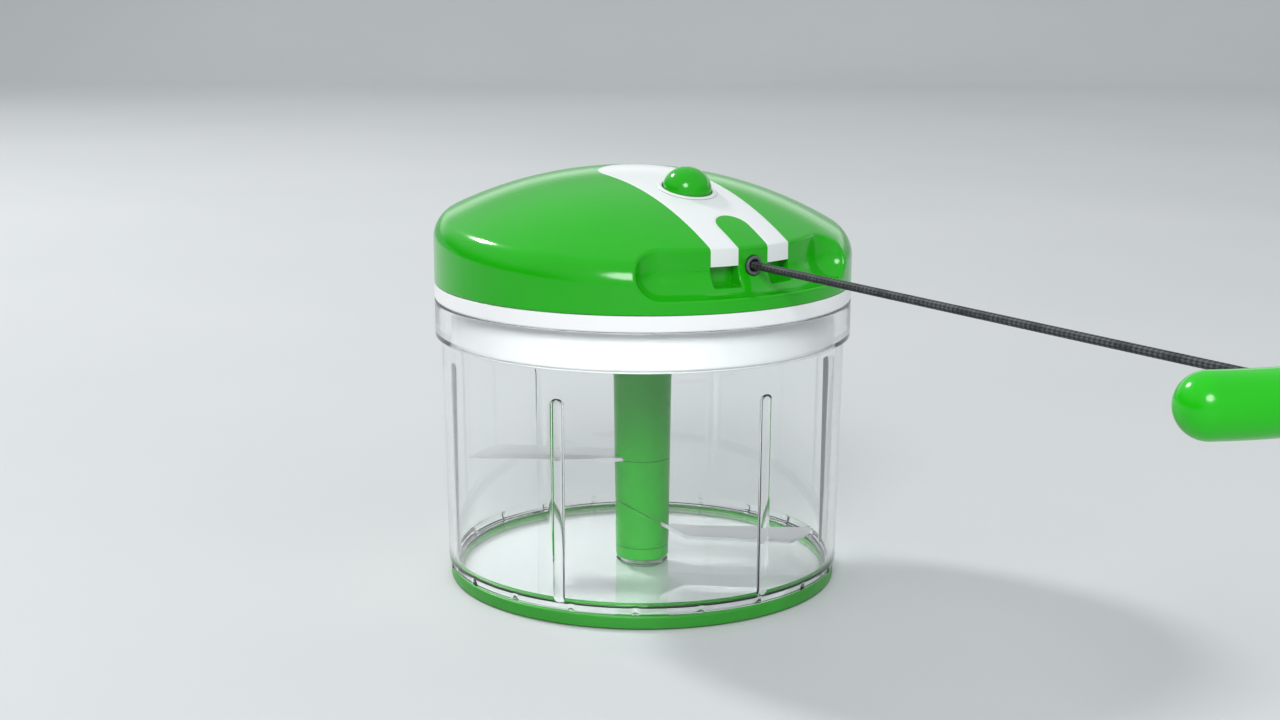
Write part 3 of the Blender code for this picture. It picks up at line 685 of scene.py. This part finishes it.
lathe("cap_bottom", [(3.0, 4.3), (8.40, 4.3), (8.45, 8.25), (5.2, 8.25),
                     (5.2, 5.4), (3.0, 5.4)], 96, GREEN_COLUMN, "blades",
      "bottom_cap", radius=0.1, special={1: 0.8, 2: 0.12})
pipe("sleeve_low",
     [(SEAT, 8.42)] + edge_low(8.45, 8.42)
     + skin(8.45, 8.54, R_LOW, lifted(lip_1, -0.12), 8)
     + edge_high(R_LOW, lip_1) + [(LIP_R, lip_1), (LIP_R, under_lower),
                                  (SEAT, under_lower)], "lower_sleeve")
pipe("sleeve_mid",
     [(SEAT, over_lower), (LIP_R, over_lower), (LIP_R, lip_2)]
     + edge_low(R_LOW, lip_2)
     + skin(R_LOW, lifted(lip_2, 0.12), R_HIGH, lifted(lip_3, -0.12), 12)
     + edge_high(R_HIGH, lip_3) + [(LIP_R, lip_3), (LIP_R, UPPER_Z - UP),
                                   (SEAT, UPPER_Z - UP)], "middle_sleeve")


def hexagon(apothem, z):
    """A hexagon with as many points as the rings."""
    pts = []
    for i in range(ROUND):
        t = math.tau * i / ROUND
        local = (t + math.pi / 6) % (math.pi / 3) - math.pi / 6
        r = apothem / math.cos(local)
        pts.append((r * math.cos(t), r * math.sin(t), z))
    return pts


# the long top sleeve, with the hexagonal socket at its upper end
verts, faces = skin_loops(
    [ring(r, h) for r, h in
     [(SEAT, 70.0), (SEAT, UPPER_Z + UP), (LIP_R, UPPER_Z + UP), (LIP_R, lip_4)]
     + edge_low(R_HIGH, lip_4)
     + skin(R_HIGH, lifted(lip_4, 0.12), R_TOP, 83.4, 16)
     + [(R_TOP, 83.4), (R_TOP - 0.18, 83.82), (R_TOP - 0.6, 84.0)]]
    + [hexagon(a, z) for a, z in ((5.4, 84.0), (5.0, 83.6), (5.0, 76.3))])
make("sleeve_top", verts, faces, GREEN_COLUMN, "blades",
     replaces=("upper_sleeve",), sharp=40, weighted=True)


def blade(name, rule, bend, towards, node):
    """A stamped blade with a ground edge and an end cut back to a pointed tip."""
    a = math.radians(towards)
    along = np.array((math.cos(a), math.sin(a)))
    across = np.array((math.sin(a), -math.cos(a)))
    plan, half, faces = [], [], []
    reach = 55.5

    def add(s, w, h):
        plan.append(along * s + across * w)
        half.append(h)
        return len(plan) - 1
    n = 96
    outer = [add(7.4 * math.cos(math.tau * i / n), 7.4 * math.sin(math.tau * i / n),
                 BLADE_T / 2) for i in range(n)]
    inner = [add(SEAT * math.cos(math.tau * i / n), SEAT * math.sin(math.tau * i / n),
                 BLADE_T / 2) for i in range(n)]
    for i in range(n):
        j = (i + 1) % n
        faces.append((inner[i], outer[i], outer[j], inner[j]))
    root = [outer[k % n] for k in range(-12, 13)]

    def edges_at(s):
        f = (s - 5.94) / (reach - 5.94)
        belly = 1.1 * math.sin(math.pi * min(max(f, 0), 1))
        return -5.94 + 2.3 * f - 0.25 * belly, 5.94 + 6.1 * f + 0.5 * belly
    parts = [0.0, 0.05, 0.12, 0.2, 0.24, 0.28, 0.4, 0.55, 0.7, 0.85, 0.95, 1.0]
    grind = [0.10, 0.17, 0.30, 0.46, 0.54, 0.6, 0.6, 0.6, 0.6, 0.6, 0.6, 0.54]
    rows = []
    stations = [bend] + [s for s in np.arange(15.5, 54.0, 1.75)] + [reach - 0.2]
    for st in stations:
        row = []
        for part, h in zip(parts, grind):
            if callable(st):
                lo, hi = edges_at(10.6)
                s = st(lo + (hi - lo) * part)
                lo, hi = edges_at(s)
                w = lo + (hi - lo) * part
                s = st(w)
                g = 0.6
            else:
                lo, hi = edges_at(st)
                w = lo + (hi - lo) * part
                f = (st - 15.5) / (reach - 15.5)
                s = st - 9.0 * part ** 1.5 * f ** 2
                g = h if st > 17 else 0.5 * (h + 0.6)
            row.append(add(s, w, g))
        rows.append(row)
    k = len(parts)
    share = [round(24 * p) for p in parts]
    for i in range(k - 1):
        arc = root[share[i]:share[i + 1] + 1]
        faces.append(tuple(reversed(arc)) + (rows[0][i], rows[0][i + 1]))
    for p, q in zip(rows, rows[1:]):
        for i in range(k - 1):
            faces.append((p[i], q[i], q[i + 1], p[i + 1]))
    verts = []
    for co, h in zip(plan, half):
        verts.append((co[0], co[1], rule(co[0], co[1]) + h))
    count = len(verts)
    for co, h in zip(plan, half):
        verts.append((co[0], co[1], rule(co[0], co[1]) - h))
    solid, used = [], set()
    for face in faces:
        face = [v for j, v in enumerate(face) if v != face[j - 1]]
        solid.append(tuple(face))
        solid.append(tuple(count + i for i in reversed(face)))
        for i, j in zip(face, face[1:] + face[:1]):
            used.add((i, j))
    for i, j in used:
        if (j, i) not in used:
            solid.append((i, count + i, count + j, j))
    return make(name, verts, solid, BLADE, "blades",
                replaces=(node,), sharp=28)


a_low = math.radians(-34.2)
S_SLOPE = SLANT[1] * math.cos(a_low) + SLANT[2] * math.sin(a_low)
W_SLOPE = SLANT[1] * math.sin(a_low) - SLANT[2] * math.cos(a_low)
blade("blade_high", lambda x, y: UPPER_Z, lambda w: 11.0, 180 - 34.2,
      "upper_blade")
blade("blade_low", lambda x, y: max(slant(x, y), LOWER_Z),
      lambda w: (LOWER_Z - SLANT[0] - W_SLOPE * w) / S_SLOPE, -34.2, "lower_blade")

# ---------------------------------------------------------------------------
# lid base
# ---------------------------------------------------------------------------
lathe("lid_white", [
    (4.5, 85.8), (8.0, 85.8), (8.0, 91.5), (58.3, 91.5), (58.3, 77.2),
    (60.3, 77.2), (60.3, 89.15), (65.0, 89.15),
    (65.0, 94.0), (62.1, 94.0), (62.1, 95.3), (60.6, 95.3), (60.6, 93.9),
    (4.5, 93.9)], 256, WHITE, "lid", "lid_base", radius=0.2, seg=5,
    special={1: 0.4, 2: 1.0, 3: 2.0, 4: 0.4, 5: 0.8, 6: 0.3, 7: 0.7, 8: 0.12})

# ---------------------------------------------------------------------------
# lid cover: an implicit solid with rolled edges, skinned on a fine grid
# ---------------------------------------------------------------------------
DOME_R, DOME_TOP, DOME_BACK = 128.6, 128.5, 7.7
CENTRE_Z = DOME_TOP - DOME_R
ARC_R, ARC_HALF, DOCK_R = 64.4, math.radians(29.3), 7.65
BUTTON_U = 23.5
TILT = math.asin((BUTTON_U + DOME_BACK) / DOME_R)
BUTTON_AT = Vector((0, -BUTTON_U, CENTRE_Z + DOME_R * math.cos(TILT)))
BUTTON_M = Matrix.Translation(BUTTON_AT) @ Matrix.Rotation(TILT, 4, "X")


def round_and(a, b, r):
    """Inside both, with a rolled outer edge."""
    return np.minimum(-r, np.maximum(a, b)) + np.hypot(
        np.maximum(a + r, 0), np.maximum(b + r, 0))


def round_or(a, b, r):
    return -round_and(-a, -b, r)


def dome_field(x, y, z, r=DOME_R):
    return np.sqrt(x * x + (y - DOME_BACK) ** 2 + (z - CENTRE_Z) ** 2) - r


def dock_field(x, y, z, radius):
    """Distance to the round-bottomed trough along the handle's arc."""
    t = np.arctan2(x, -y)
    s = np.clip(t, -ARC_HALF, ARC_HALF)
    q = np.hypot(x - ARC_R * np.sin(s), y + ARC_R * np.cos(s))
    return np.where(z > CORD_Z, q, np.hypot(q, z - CORD_Z)) - radius


def box_field(x, y, z, lo, hi, r=0.0):
    d = [np.maximum(lo[i] - c, c - hi[i]) + r for i, c in enumerate((x, y, z))]
    out = np.sqrt(sum(np.maximum(e, 0) ** 2 for e in d))
    return out + np.minimum(np.maximum(np.maximum(d[0], d[1]), d[2]), 0) - r


def cover_field(x, y, z):
    rad = np.hypot(x, y)
    body = round_and(rad - 65.0, dome_field(x, y, z), 4.0)
    body = round_and(body, 94.12 - z, 0.25)
    cavity = np.maximum(rad - 62.6, dome_field(x, y, z, DOME_R - 2.4))
    keep = dock_field(x, y, z, DOCK_R + 2.4)
    keep = np.minimum(keep, box_field(x, y, z, (-16.2, -60, 98), (16.2, -51.0, 140)))
    keep = np.minimum(keep, np.maximum(rad - 6.5, 111.6 - z))
    for k in range(3):
        t = math.radians(60 + 120 * k)
        px, py = 46 * math.sin(t), -46 * math.cos(t)
        keep = np.minimum(keep, np.hypot(x - px, y - py) - 3.7)
    body = np.maximum(body, -np.maximum(cavity, -keep))
    # the dock, its rim rolled over
    body = round_and(body, -dock_field(x, y, z, DOCK_R), 0.75)
    # pockets under the white legs
    side = np.abs(x)
    pocket = np.maximum(np.maximum(5.3 - side, side - 14.0),
                        np.maximum(100.3 - z, z - 106.25))
    pocket = np.maximum(np.maximum(pocket, 53.4 - rad), y + 40)
    body = round_and(body, -pocket, 0.3)
    # bores: button guide, bearing, cord
    qy = (y - BUTTON_AT.y)
    qz = (z - BUTTON_AT.z)
    ly = qy * math.cos(TILT) + qz * math.sin(TILT)
    body = np.maximum(body, -(np.hypot(x, ly) - 8.75))
    body = np.maximum(body, -np.maximum(rad - 4.5, z - 119.0))
    bore = np.hypot(x, z - CORD_Z) - 2.75
    body = np.maximum(body, -np.maximum(bore, np.maximum(y + 40, -y - 70)))
    seat = np.hypot(x, z - CORD_Z) - 3.02
    body = np.maximum(body, -np.maximum(seat, np.maximum(y + 56.6, -y - 70)))
    for k in range(3):
        t = math.radians(60 + 120 * k)
        px, py = 46 * math.sin(t), -46 * math.cos(t)
        body = np.maximum(body, -np.maximum(np.hypot(x - px, y - py) - 1.5,
                                            z - 104.0))
    # the thin parting line down the nose
    line = np.maximum(np.hypot(x - 0.0, rad - 59.4) - 2.4, np.abs(x) - 0.10)
    line = np.maximum(np.maximum(line, y + 40), np.maximum(z - 102.6, 98.4 - z))
    return np.maximum(body, -line)


def steps(*runs):
    """Grid lines from runs of (start, end, step)."""
    out = []
    for lo, hi, st in runs:
        k = max(1, int(round((hi - lo) / st)))
        out += [lo + (hi - lo) * i / k for i in range(k)]
    return np.array(out + [runs[-1][1]])


def surface_net(field, xs, ys, zs, iterations=5):
    """Skins field = 0 on a grid of lines, then slides the points on to it."""
    gx, gy, gz = np.meshgrid(xs, ys, zs, indexing="ij")
    v = field(gx, gy, gz)
    inside = v < 0
    shape = tuple(d - 1 for d in v.shape)
    total = np.zeros(shape + (3,))
    count = np.zeros(shape)
    quads = []
    for axis in range(3):
        lo = [slice(None)] * 3
        hi = [slice(None)] * 3
        lo[axis], hi[axis] = slice(0, -1), slice(1, None)
        a, b = v[tuple(lo)], v[tuple(hi)]
        cross = inside[tuple(lo)] != inside[tuple(hi)]
        i, j, k = np.nonzero(cross)
        va, vb = a[i, j, k], b[i, j, k]
        f = va / (va - vb)
        p = np.stack((xs[i], ys[j], zs[k]), -1)
        line = (xs, ys, zs)[axis]
        idx = (i, j, k)[axis]
        p[:, axis] = line[idx] + f * (line[idx + 1] - line[idx])
        u, w = [c for c in range(3) if c != axis]
        cells = []
        good = np.ones(len(i), bool)
        for du, dw in ((-1, -1), (0, -1), (0, 0), (-1, 0)):
            c = np.stack((i, j, k), -1)
            c[:, u] += du
            c[:, w] += dw
            ok = np.all((c >= 0) & (c < np.array(shape)), axis=1)
            good &= ok
            cells.append((c, ok))
        for c, ok in cells:
            np.add.at(total, tuple(c[ok].T), p[ok])
            np.add.at(count, tuple(c[ok].T), 1)
        flip = inside[tuple(lo)][i, j, k]
        if axis == 1:
            flip = ~flip
        ring = np.stack([np.ravel_multi_index(tuple(np.clip(
            c, 0, np.array(shape) - 1).T), shape) for c, _ in cells], -1)
        ring[~flip] = ring[~flip][:, ::-1]
        quads.append(ring[good])
    used = count > 0
    number = np.full(int(np.prod(shape)), -1)
    number[np.ravel_multi_index(np.nonzero(used), shape)] = np.arange(used.sum())
    pts = total[used] / count[used][:, None]
    faces = number[np.concatenate(quads)]

    def slope(q, h=0.01):
        g = np.empty_like(q)
        for c in range(3):
            d = np.zeros(3)
            d[c] = h
            e, s = q + d, q - d
            g[:, c] = (field(*e.T) - field(*s.T)) / (2 * h)
        return g
    for _ in range(iterations):
        g = slope(pts)
        f = field(*pts.T)
        move = f / np.maximum((g * g).sum(1), 0.25)
        move = np.clip(move, -0.25, 0.25)
        pts = pts - 0.8 * move[:, None] * g
    g = slope(pts, 0.03)
    norms = g / np.maximum(np.linalg.norm(g, axis=1), 1e-9)[:, None]
    return pts, faces, norms


xs = steps((-66, -46, 1.0), (-46, -17, 0.5), (-17, 17, 0.3), (17, 46, 0.5),
           (46, 66, 1.0))
ys = steps((-66, -48, 0.36), (-48, -33, 0.6), (-33, -13, 0.8), (-13, 66, 1.1))
zs = steps((93.4, 112.6, 0.36), (112.6, 130, 0.65))
pts, quads, norms = surface_net(cover_field, xs, ys, zs)
cover = make("cover_green", pts, quads, GREEN, "lid",
             replaces=("lid_cover",), sharp=40)

# ---------------------------------------------------------------------------
# white strip over the dome, with its two legs down the dock's back wall
# ---------------------------------------------------------------------------
STRIP_HALF, TONGUE_HALF, TONGUE_C = 14.0, 5.3, 47.2
WALL_R = ARC_R - DOCK_R + 0.06
LEG_LOW = 106.2


def dome_z(x, y):
    return CENTRE_Z + math.sqrt(DOME_R ** 2 - x * x - (y - DOME_BACK) ** 2)


def strip_outline(grow):
    w, notch, rad = STRIP_HALF + grow, TONGUE_HALF - grow, WALL_R + grow
    pts = []

    def arc(x0, x1, n):
        for i in range(n + 1):
            x = x0 + (x1 - x0) * i / n
            pts.append((x, -math.sqrt(rad * rad - x * x)))
    arc(notch, w, 8)
    for i in range(1, 49):
        t = math.pi * i / 48
        pts.append((w * math.cos(t), w * math.sin(t)) if i < 48 else (-w, 0.0))
    pts.insert(9, (w, 0.0))
    arc(-w, -notch, 8)
    for i in range(25):
        t = math.pi - math.pi * i / 24
        pts.append((notch * math.cos(t), -TONGUE_C + notch * math.sin(t)))
    return pts


def strip_mesh():
    bm = bmesh.new()
    rings = []
    for grow, depth in ((0.0, -1.1), (0.0, -0.22), (-0.06, -0.07), (-0.22, 0.0)):
        rings.append([bm.verts.new((x, y, depth)) for x, y in strip_outline(grow)])
    n = len(rings[0])
    for a, b in zip(rings, rings[1:]):
        for i in range(n):
            j = (i + 1) % n
            bm.faces.new((a[i], a[j], b[j], b[i]))
    bm.faces.new(rings[-1])
    bm.faces.new(list(reversed(rings[0])))
    for axis, marks in ((0, np.arange(-13, 14, 2.0)),
                        (1, list(np.arange(-56, 14, 2.0)) + [-55.2, -55.6])):
        for c in marks:
            no = (1, 0, 0) if axis == 0 else (0, 1, 0)
            co = (c, 0, 0) if axis == 0 else (0, c, 0)
            bmesh.ops.bisect_plane(bm, geom=bm.verts[:] + bm.edges[:] + bm.faces[:],
                                   plane_co=co, plane_no=no, dist=1e-5)
    bmesh.ops.triangulate(bm, faces=[f for f in bm.faces if len(f.verts) > 4])
    for v in bm.verts:
        top = dome_z(v.co.x, v.co.y) + 0.10
        if v.co.z < -1.0 and math.hypot(v.co.x, v.co.y) > 55.5 and v.co.y < 0:
            v.co.z = LEG_LOW
        else:
            v.co.z += top
    bmesh.ops.recalc_face_normals(bm, faces=bm.faces)
    bmesh.ops.scale(bm, vec=(MM, MM, MM), verts=bm.verts)
    mesh = bpy.data.meshes.new("strip_white")
    bm.to_mesh(mesh)
    bm.free()
    mesh.shade_smooth()
    mesh.set_sharp_from_angle(angle=math.radians(40))
    mesh.materials.append(WHITE_SHADED)
    return mesh


strip = bpy.data.objects.new("strip_white", strip_mesh())
bpy.context.scene.collection.objects.link(strip)
cutter_v, cutter_f = revolve([(0, -20), (8.75, -20), (8.75, 8), (0, 8)], 96)
cutter_v = [tuple(BUTTON_M @ Vector(v)) for v in cutter_v]
cm = bpy.data.meshes.new("strip_cut")
cm.from_pydata([tuple(c * MM for c in v) for v in cutter_v], [],
               [tuple(f) for f in cutter_f])
cbm = bmesh.new()
cbm.from_mesh(cm)
bmesh.ops.recalc_face_normals(cbm, faces=cbm.faces)
cbm.to_mesh(cm)
cbm.free()
cutter = bpy.data.objects.new("strip_cut", cm)
bpy.context.scene.collection.objects.link(cutter)
bo = strip.modifiers.new("hole", "BOOLEAN")
bo.operation = "DIFFERENCE"
bo.object = cutter
bo.solver = "EXACT"
bpy.context.view_layer.update()
done = bpy.data.meshes.new_from_object(
    strip.evaluated_get(bpy.context.evaluated_depsgraph_get()))
strip.modifiers.clear()
strip.data = done
bpy.data.objects.remove(cutter, do_unlink=True)
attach(strip, "lid")
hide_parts("lid_trim")

# ---------------------------------------------------------------------------
# button, its guide ring, and the eyelet
# ---------------------------------------------------------------------------
cap = [(0, -9.0), (3.0, -9.0), (3.0, -3.2), (7.4, -3.2), (7.4, 0.0)]
for i in range(1, 25):
    t = math.radians(90 * i / 24)
    cap.append((7.4 * math.cos(t) if i < 24 else 0.0, 6.6 * math.sin(t)))
lathe("button_green", cap, 96, GREEN, "button", "button_cap",
      matrix=BUTTON_M, radius=0.0, sharp=50, weighted=False)
lathe("button_ring", [
    (3.4, -8.2), (8.5, -8.2), (8.5, 0.0), (9.2, -0.18), (9.2, 0.14), (8.4, 0.34),
    (7.7, 0.22), (7.7, -7.6), (3.4, -7.6)], 96, WHITE_SHADED, "lid",
    "button_collar", matrix=BUTTON_M, radius=0.12, special={4: 0.25, 5: 0.5, 6: 0.25})



def coil(turns, radius, wire, low, high, per=48, n=10):
    """A round wire wound on the button's axis."""
    verts, faces = [], []
    rise = (high - low) / (turns * math.tau)
    for i in range(turns * per + 1):
        t = math.tau * i / per
        out = Vector((math.cos(t), math.sin(t), 0))
        way = Vector((-radius * out.y, radius * out.x, rise)).normalized()
        side = way.cross(out)
        at = out * radius + Vector((0, 0, low + rise * t))
        for k in range(n):
            a = math.tau * k / n
            verts.append(BUTTON_M @ (at + out * (wire * math.cos(a))
                                     + side * (wire * math.sin(a))))
    last = turns * per * n
    for i in range(turns * per):
        for k in range(n):
            q = (k + 1) % n
            faces.append((i * n + k, i * n + q, (i + 1) * n + q, (i + 1) * n + k))
    faces.append(tuple(range(n)))
    faces.append(tuple(range(last, last + n)))
    return verts, faces


sv, sf = coil(3, 5.3, 0.3, -7.2, -3.7)
spring = make("spring_steel", sv, sf, STEEL, "lid",
              replaces=("button_spring",))
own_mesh(spring)

EYE_M = Matrix.Translation((0, 0, CORD_Z)) @ Matrix.Rotation(math.radians(90), 4, "X")
lathe("eyelet_grey", [
    (1.8, 52.0), (2.5, 52.0), (2.5, 56.9), (2.8, 56.9), (2.8, 57.6), (1.8, 57.6)],
    72, GREY, "lid", "cord_eyelet", matrix=EYE_M, radius=0.12,
    special={4: 0.45, 5: 0.5})

# ---------------------------------------------------------------------------
# handle: a bent bar of round section with round ends
# ---------------------------------------------------------------------------
HANDLE_R = 7.3


def handle_field(x, y, z):
    yy = y + TRAVEL
    t = np.arctan2(x, -yy)
    s = np.clip(t, -ARC_HALF, ARC_HALF)
    q = np.sqrt((x - ARC_R * np.sin(s)) ** 2 + (yy + ARC_R * np.cos(s)) ** 2
                + (z - CORD_Z) ** 2)
    body = q - HANDLE_R
    bore = np.hypot(x, z - CORD_Z)
    u = -yy
    sink = np.maximum(bore - 3.6, np.maximum(u - 58.3, 50 - u))
    body = round_and(body, -sink, 0.3)
    body = np.maximum(body, -np.maximum(bore - 1.45, np.maximum(u - 63, 50 - u)))
    well = np.maximum(bore - 2.75, np.maximum(62.0 - u, u - 80))
    return round_and(body, -well, 0.25)


hx = steps((-40, -5, 0.7), (-5, 5, 0.35), (5, 40, 0.7))
hy = steps((-266, -263, 0.35), (-263, -252, 0.45), (-252, -240, 0.6))
hz = steps((98, 114, 0.5))
pts, quads, norms = surface_net(handle_field, hx, hy, hz)
make("handle_bar", pts, quads, GREEN_HANDLE, "handle",
     replaces=("handle",), sharp=45)
PLUG_M = Matrix.Translation((0, -TRAVEL, CORD_Z)) @ Matrix.Rotation(
    math.radians(90), 4, "X")
lathe("plug_green", [(0, 68.0), (2.6, 68.0), (2.6, 71.6), (0, 71.6)], 64,
      GREEN_HANDLE, "handle", "handle_plug", matrix=PLUG_M,
      radius=0.25)

# ---------------------------------------------------------------------------
# finishes of the CAD nodes that stay as they are
# ---------------------------------------------------------------------------
for node, mat in {
        "hub_tube": WHITE, "spring_housing": NATURAL,
        "return_spring": STEEL, "lower_bush": BRONZE, "upper_bush": BRONZE,
        "cover_screw_1": STEEL, "cover_screw_2": STEEL, "cover_screw_3": STEEL,
        "inner_cord": BRAID, "cord_reel": NATURAL, "wound_cord": BRAID,
        "drive_shaft": STEEL, "thrust_washer": NATURAL, "drive_coupler": WHITE,
        "brake_tip": RUBBER, "cord_knot": BRAID}.items():
    give(node, mat)

# ---------------------------------------------------------------------------
# floor that rolls up into a backdrop, and the studio light
# ---------------------------------------------------------------------------
fm = Nodes("floor")
fm.link(fm.ramp(fm.noise(3.0, 5.0), [(0.3, (0.545, 0.565, 0.570)),
                                     (0.7, (0.575, 0.592, 0.597))]),
        fm.b.inputs["Base Color"])
fm.b.inputs["Roughness"].default_value = 0.6
fm.b.inputs["Specular IOR Level"].default_value = 0.25
run = [(-2.5, 0.0), (2.2, 0.0)]
for i in range(1, 25):
    t = math.radians(90 * i / 24)
    run.append((2.2 + 0.5 * math.sin(t), 0.5 - 0.5 * math.cos(t)))
fv, ff = [], []
for y, z in run:
    for x in (-5.0, 5.0):
        fv.append(tuple(turned(x, y, z - 0.0003)))
for i in range(len(run) - 1):
    ff.append((2 * i, 2 * i + 1, 2 * i + 3, 2 * i + 2))
floor_mesh = bpy.data.meshes.new("floor")
floor_mesh.from_pydata(fv, [], ff)
floor_mesh.shade_smooth()
floor_mesh.materials.append(fm.m)
floor = bpy.data.objects.new("floor", floor_mesh)
bpy.context.scene.collection.objects.link(floor)

bpy.context.scene.view_settings.view_transform = "Standard"


def studio_world():
    """Even white light, with a dark flag low down on either side."""
    world = bpy.data.worlds.new("studio")
    bpy.context.scene.world = world
    world.use_nodes = True
    t = world.node_tree
    bg = t.nodes["Background"]
    bg.inputs["Strength"].default_value = 0.70
    co = t.nodes.new("ShaderNodeTexCoord")

    def part(direction):
        d = t.nodes.new("ShaderNodeVectorMath")
        d.operation = "DOT_PRODUCT"
        t.links.new(co.outputs["Generated"], d.inputs[0])
        d.inputs[1].default_value = direction
        return d.outputs["Value"]

    def ease(value, low, high, start=0.0, end=1.0):
        m = t.nodes.new("ShaderNodeMapRange")
        m.interpolation_type = "SMOOTHSTEP"
        t.links.new(value, m.inputs["Value"])
        for k, v in (("From Min", low), ("From Max", high), ("To Min", start),
                     ("To Max", end)):
            m.inputs[k].default_value = v
        return m.outputs["Result"]

    def times(a, b):
        m = t.nodes.new("ShaderNodeMath")
        m.operation = "MULTIPLY"
        t.links.new(a, m.inputs[0])
        t.links.new(b, m.inputs[1])
        return m.outputs["Value"]
    low = ease(part((0, 0, 1)), 0.12, 0.50, 1.0, 0.0)
    left = times(ease(part(turned(-1, 0, 0)), 0.45, 0.80), low)
    right = times(ease(part(turned(1, 0, 0)), 0.60, 0.95, 0.0, 0.8), low)
    back = times(ease(part(turned(0.25, 0.97, 0)), 0.55, 0.90),
                 ease(part((0, 0, 1)), 0.62, 0.30))
    horizon = times(ease(part(turned(0.25, 0.97, 0)), 0.50, 0.85),
                    ease(part((0, 0, 1)), 0.35, 0.20))
    mix = None
    for fac, colour in ((left, (0.05, 0.06, 0.065, 1)),
                        (right, (0.22, 0.24, 0.25, 1)),
                        (back, (0.60, 0.62, 0.63, 1)),
                        (horizon, (1.75, 1.78, 1.8, 1))):
        n = t.nodes.new("ShaderNodeMix")
        n.data_type = "RGBA"
        t.links.new(fac, n.inputs[0])
        if mix is None:
            n.inputs[6].default_value = (0.93, 0.965, 1.0, 1)
        else:
            t.links.new(mix, n.inputs[6])
        n.inputs[7].default_value = colour
        mix = n.outputs[2]
    # beyond the backdrop's edge the picture shows the backdrop's own grey
    path = t.nodes.new("ShaderNodeLightPath")
    plain = t.nodes.new("ShaderNodeMix")
    plain.data_type = "RGBA"
    t.links.new(path.outputs["Is Camera Ray"], plain.inputs[0])
    t.links.new(mix, plain.inputs[6])
    plain.inputs[7].default_value = (0.62, 0.65, 0.66, 1)
    t.links.new(plain.outputs[2], bg.inputs["Color"])


studio_world()


def area(name, direction, distance, size, power, colour=(1, 1, 1), size_y=None):
    """A soft lamp seen from the lid in the given camera-side direction."""
    d = bpy.data.lights.new(name, "AREA")
    d.energy = power
    d.color = colour
    d.shape = "RECTANGLE" if size_y else "DISK"
    d.size = size
    if size_y:
        d.size_y = size_y
    o = bpy.data.objects.new(name, d)
    bpy.context.scene.collection.objects.link(o)
    look = Vector((0, 0, 0.10))
    at = look + turned(*direction).normalized() * distance
    o.location = at
    o.rotation_euler = (look - at).to_track_quat("-Z", "Y").to_euler()
    return o


area("sun", (-0.57, 0.48, 0.66), 2.0, 0.26, 21.0, (1.0, 0.99, 0.97))
area("front", (-0.10, -0.83, 0.55), 1.9, 0.70, 18.0)
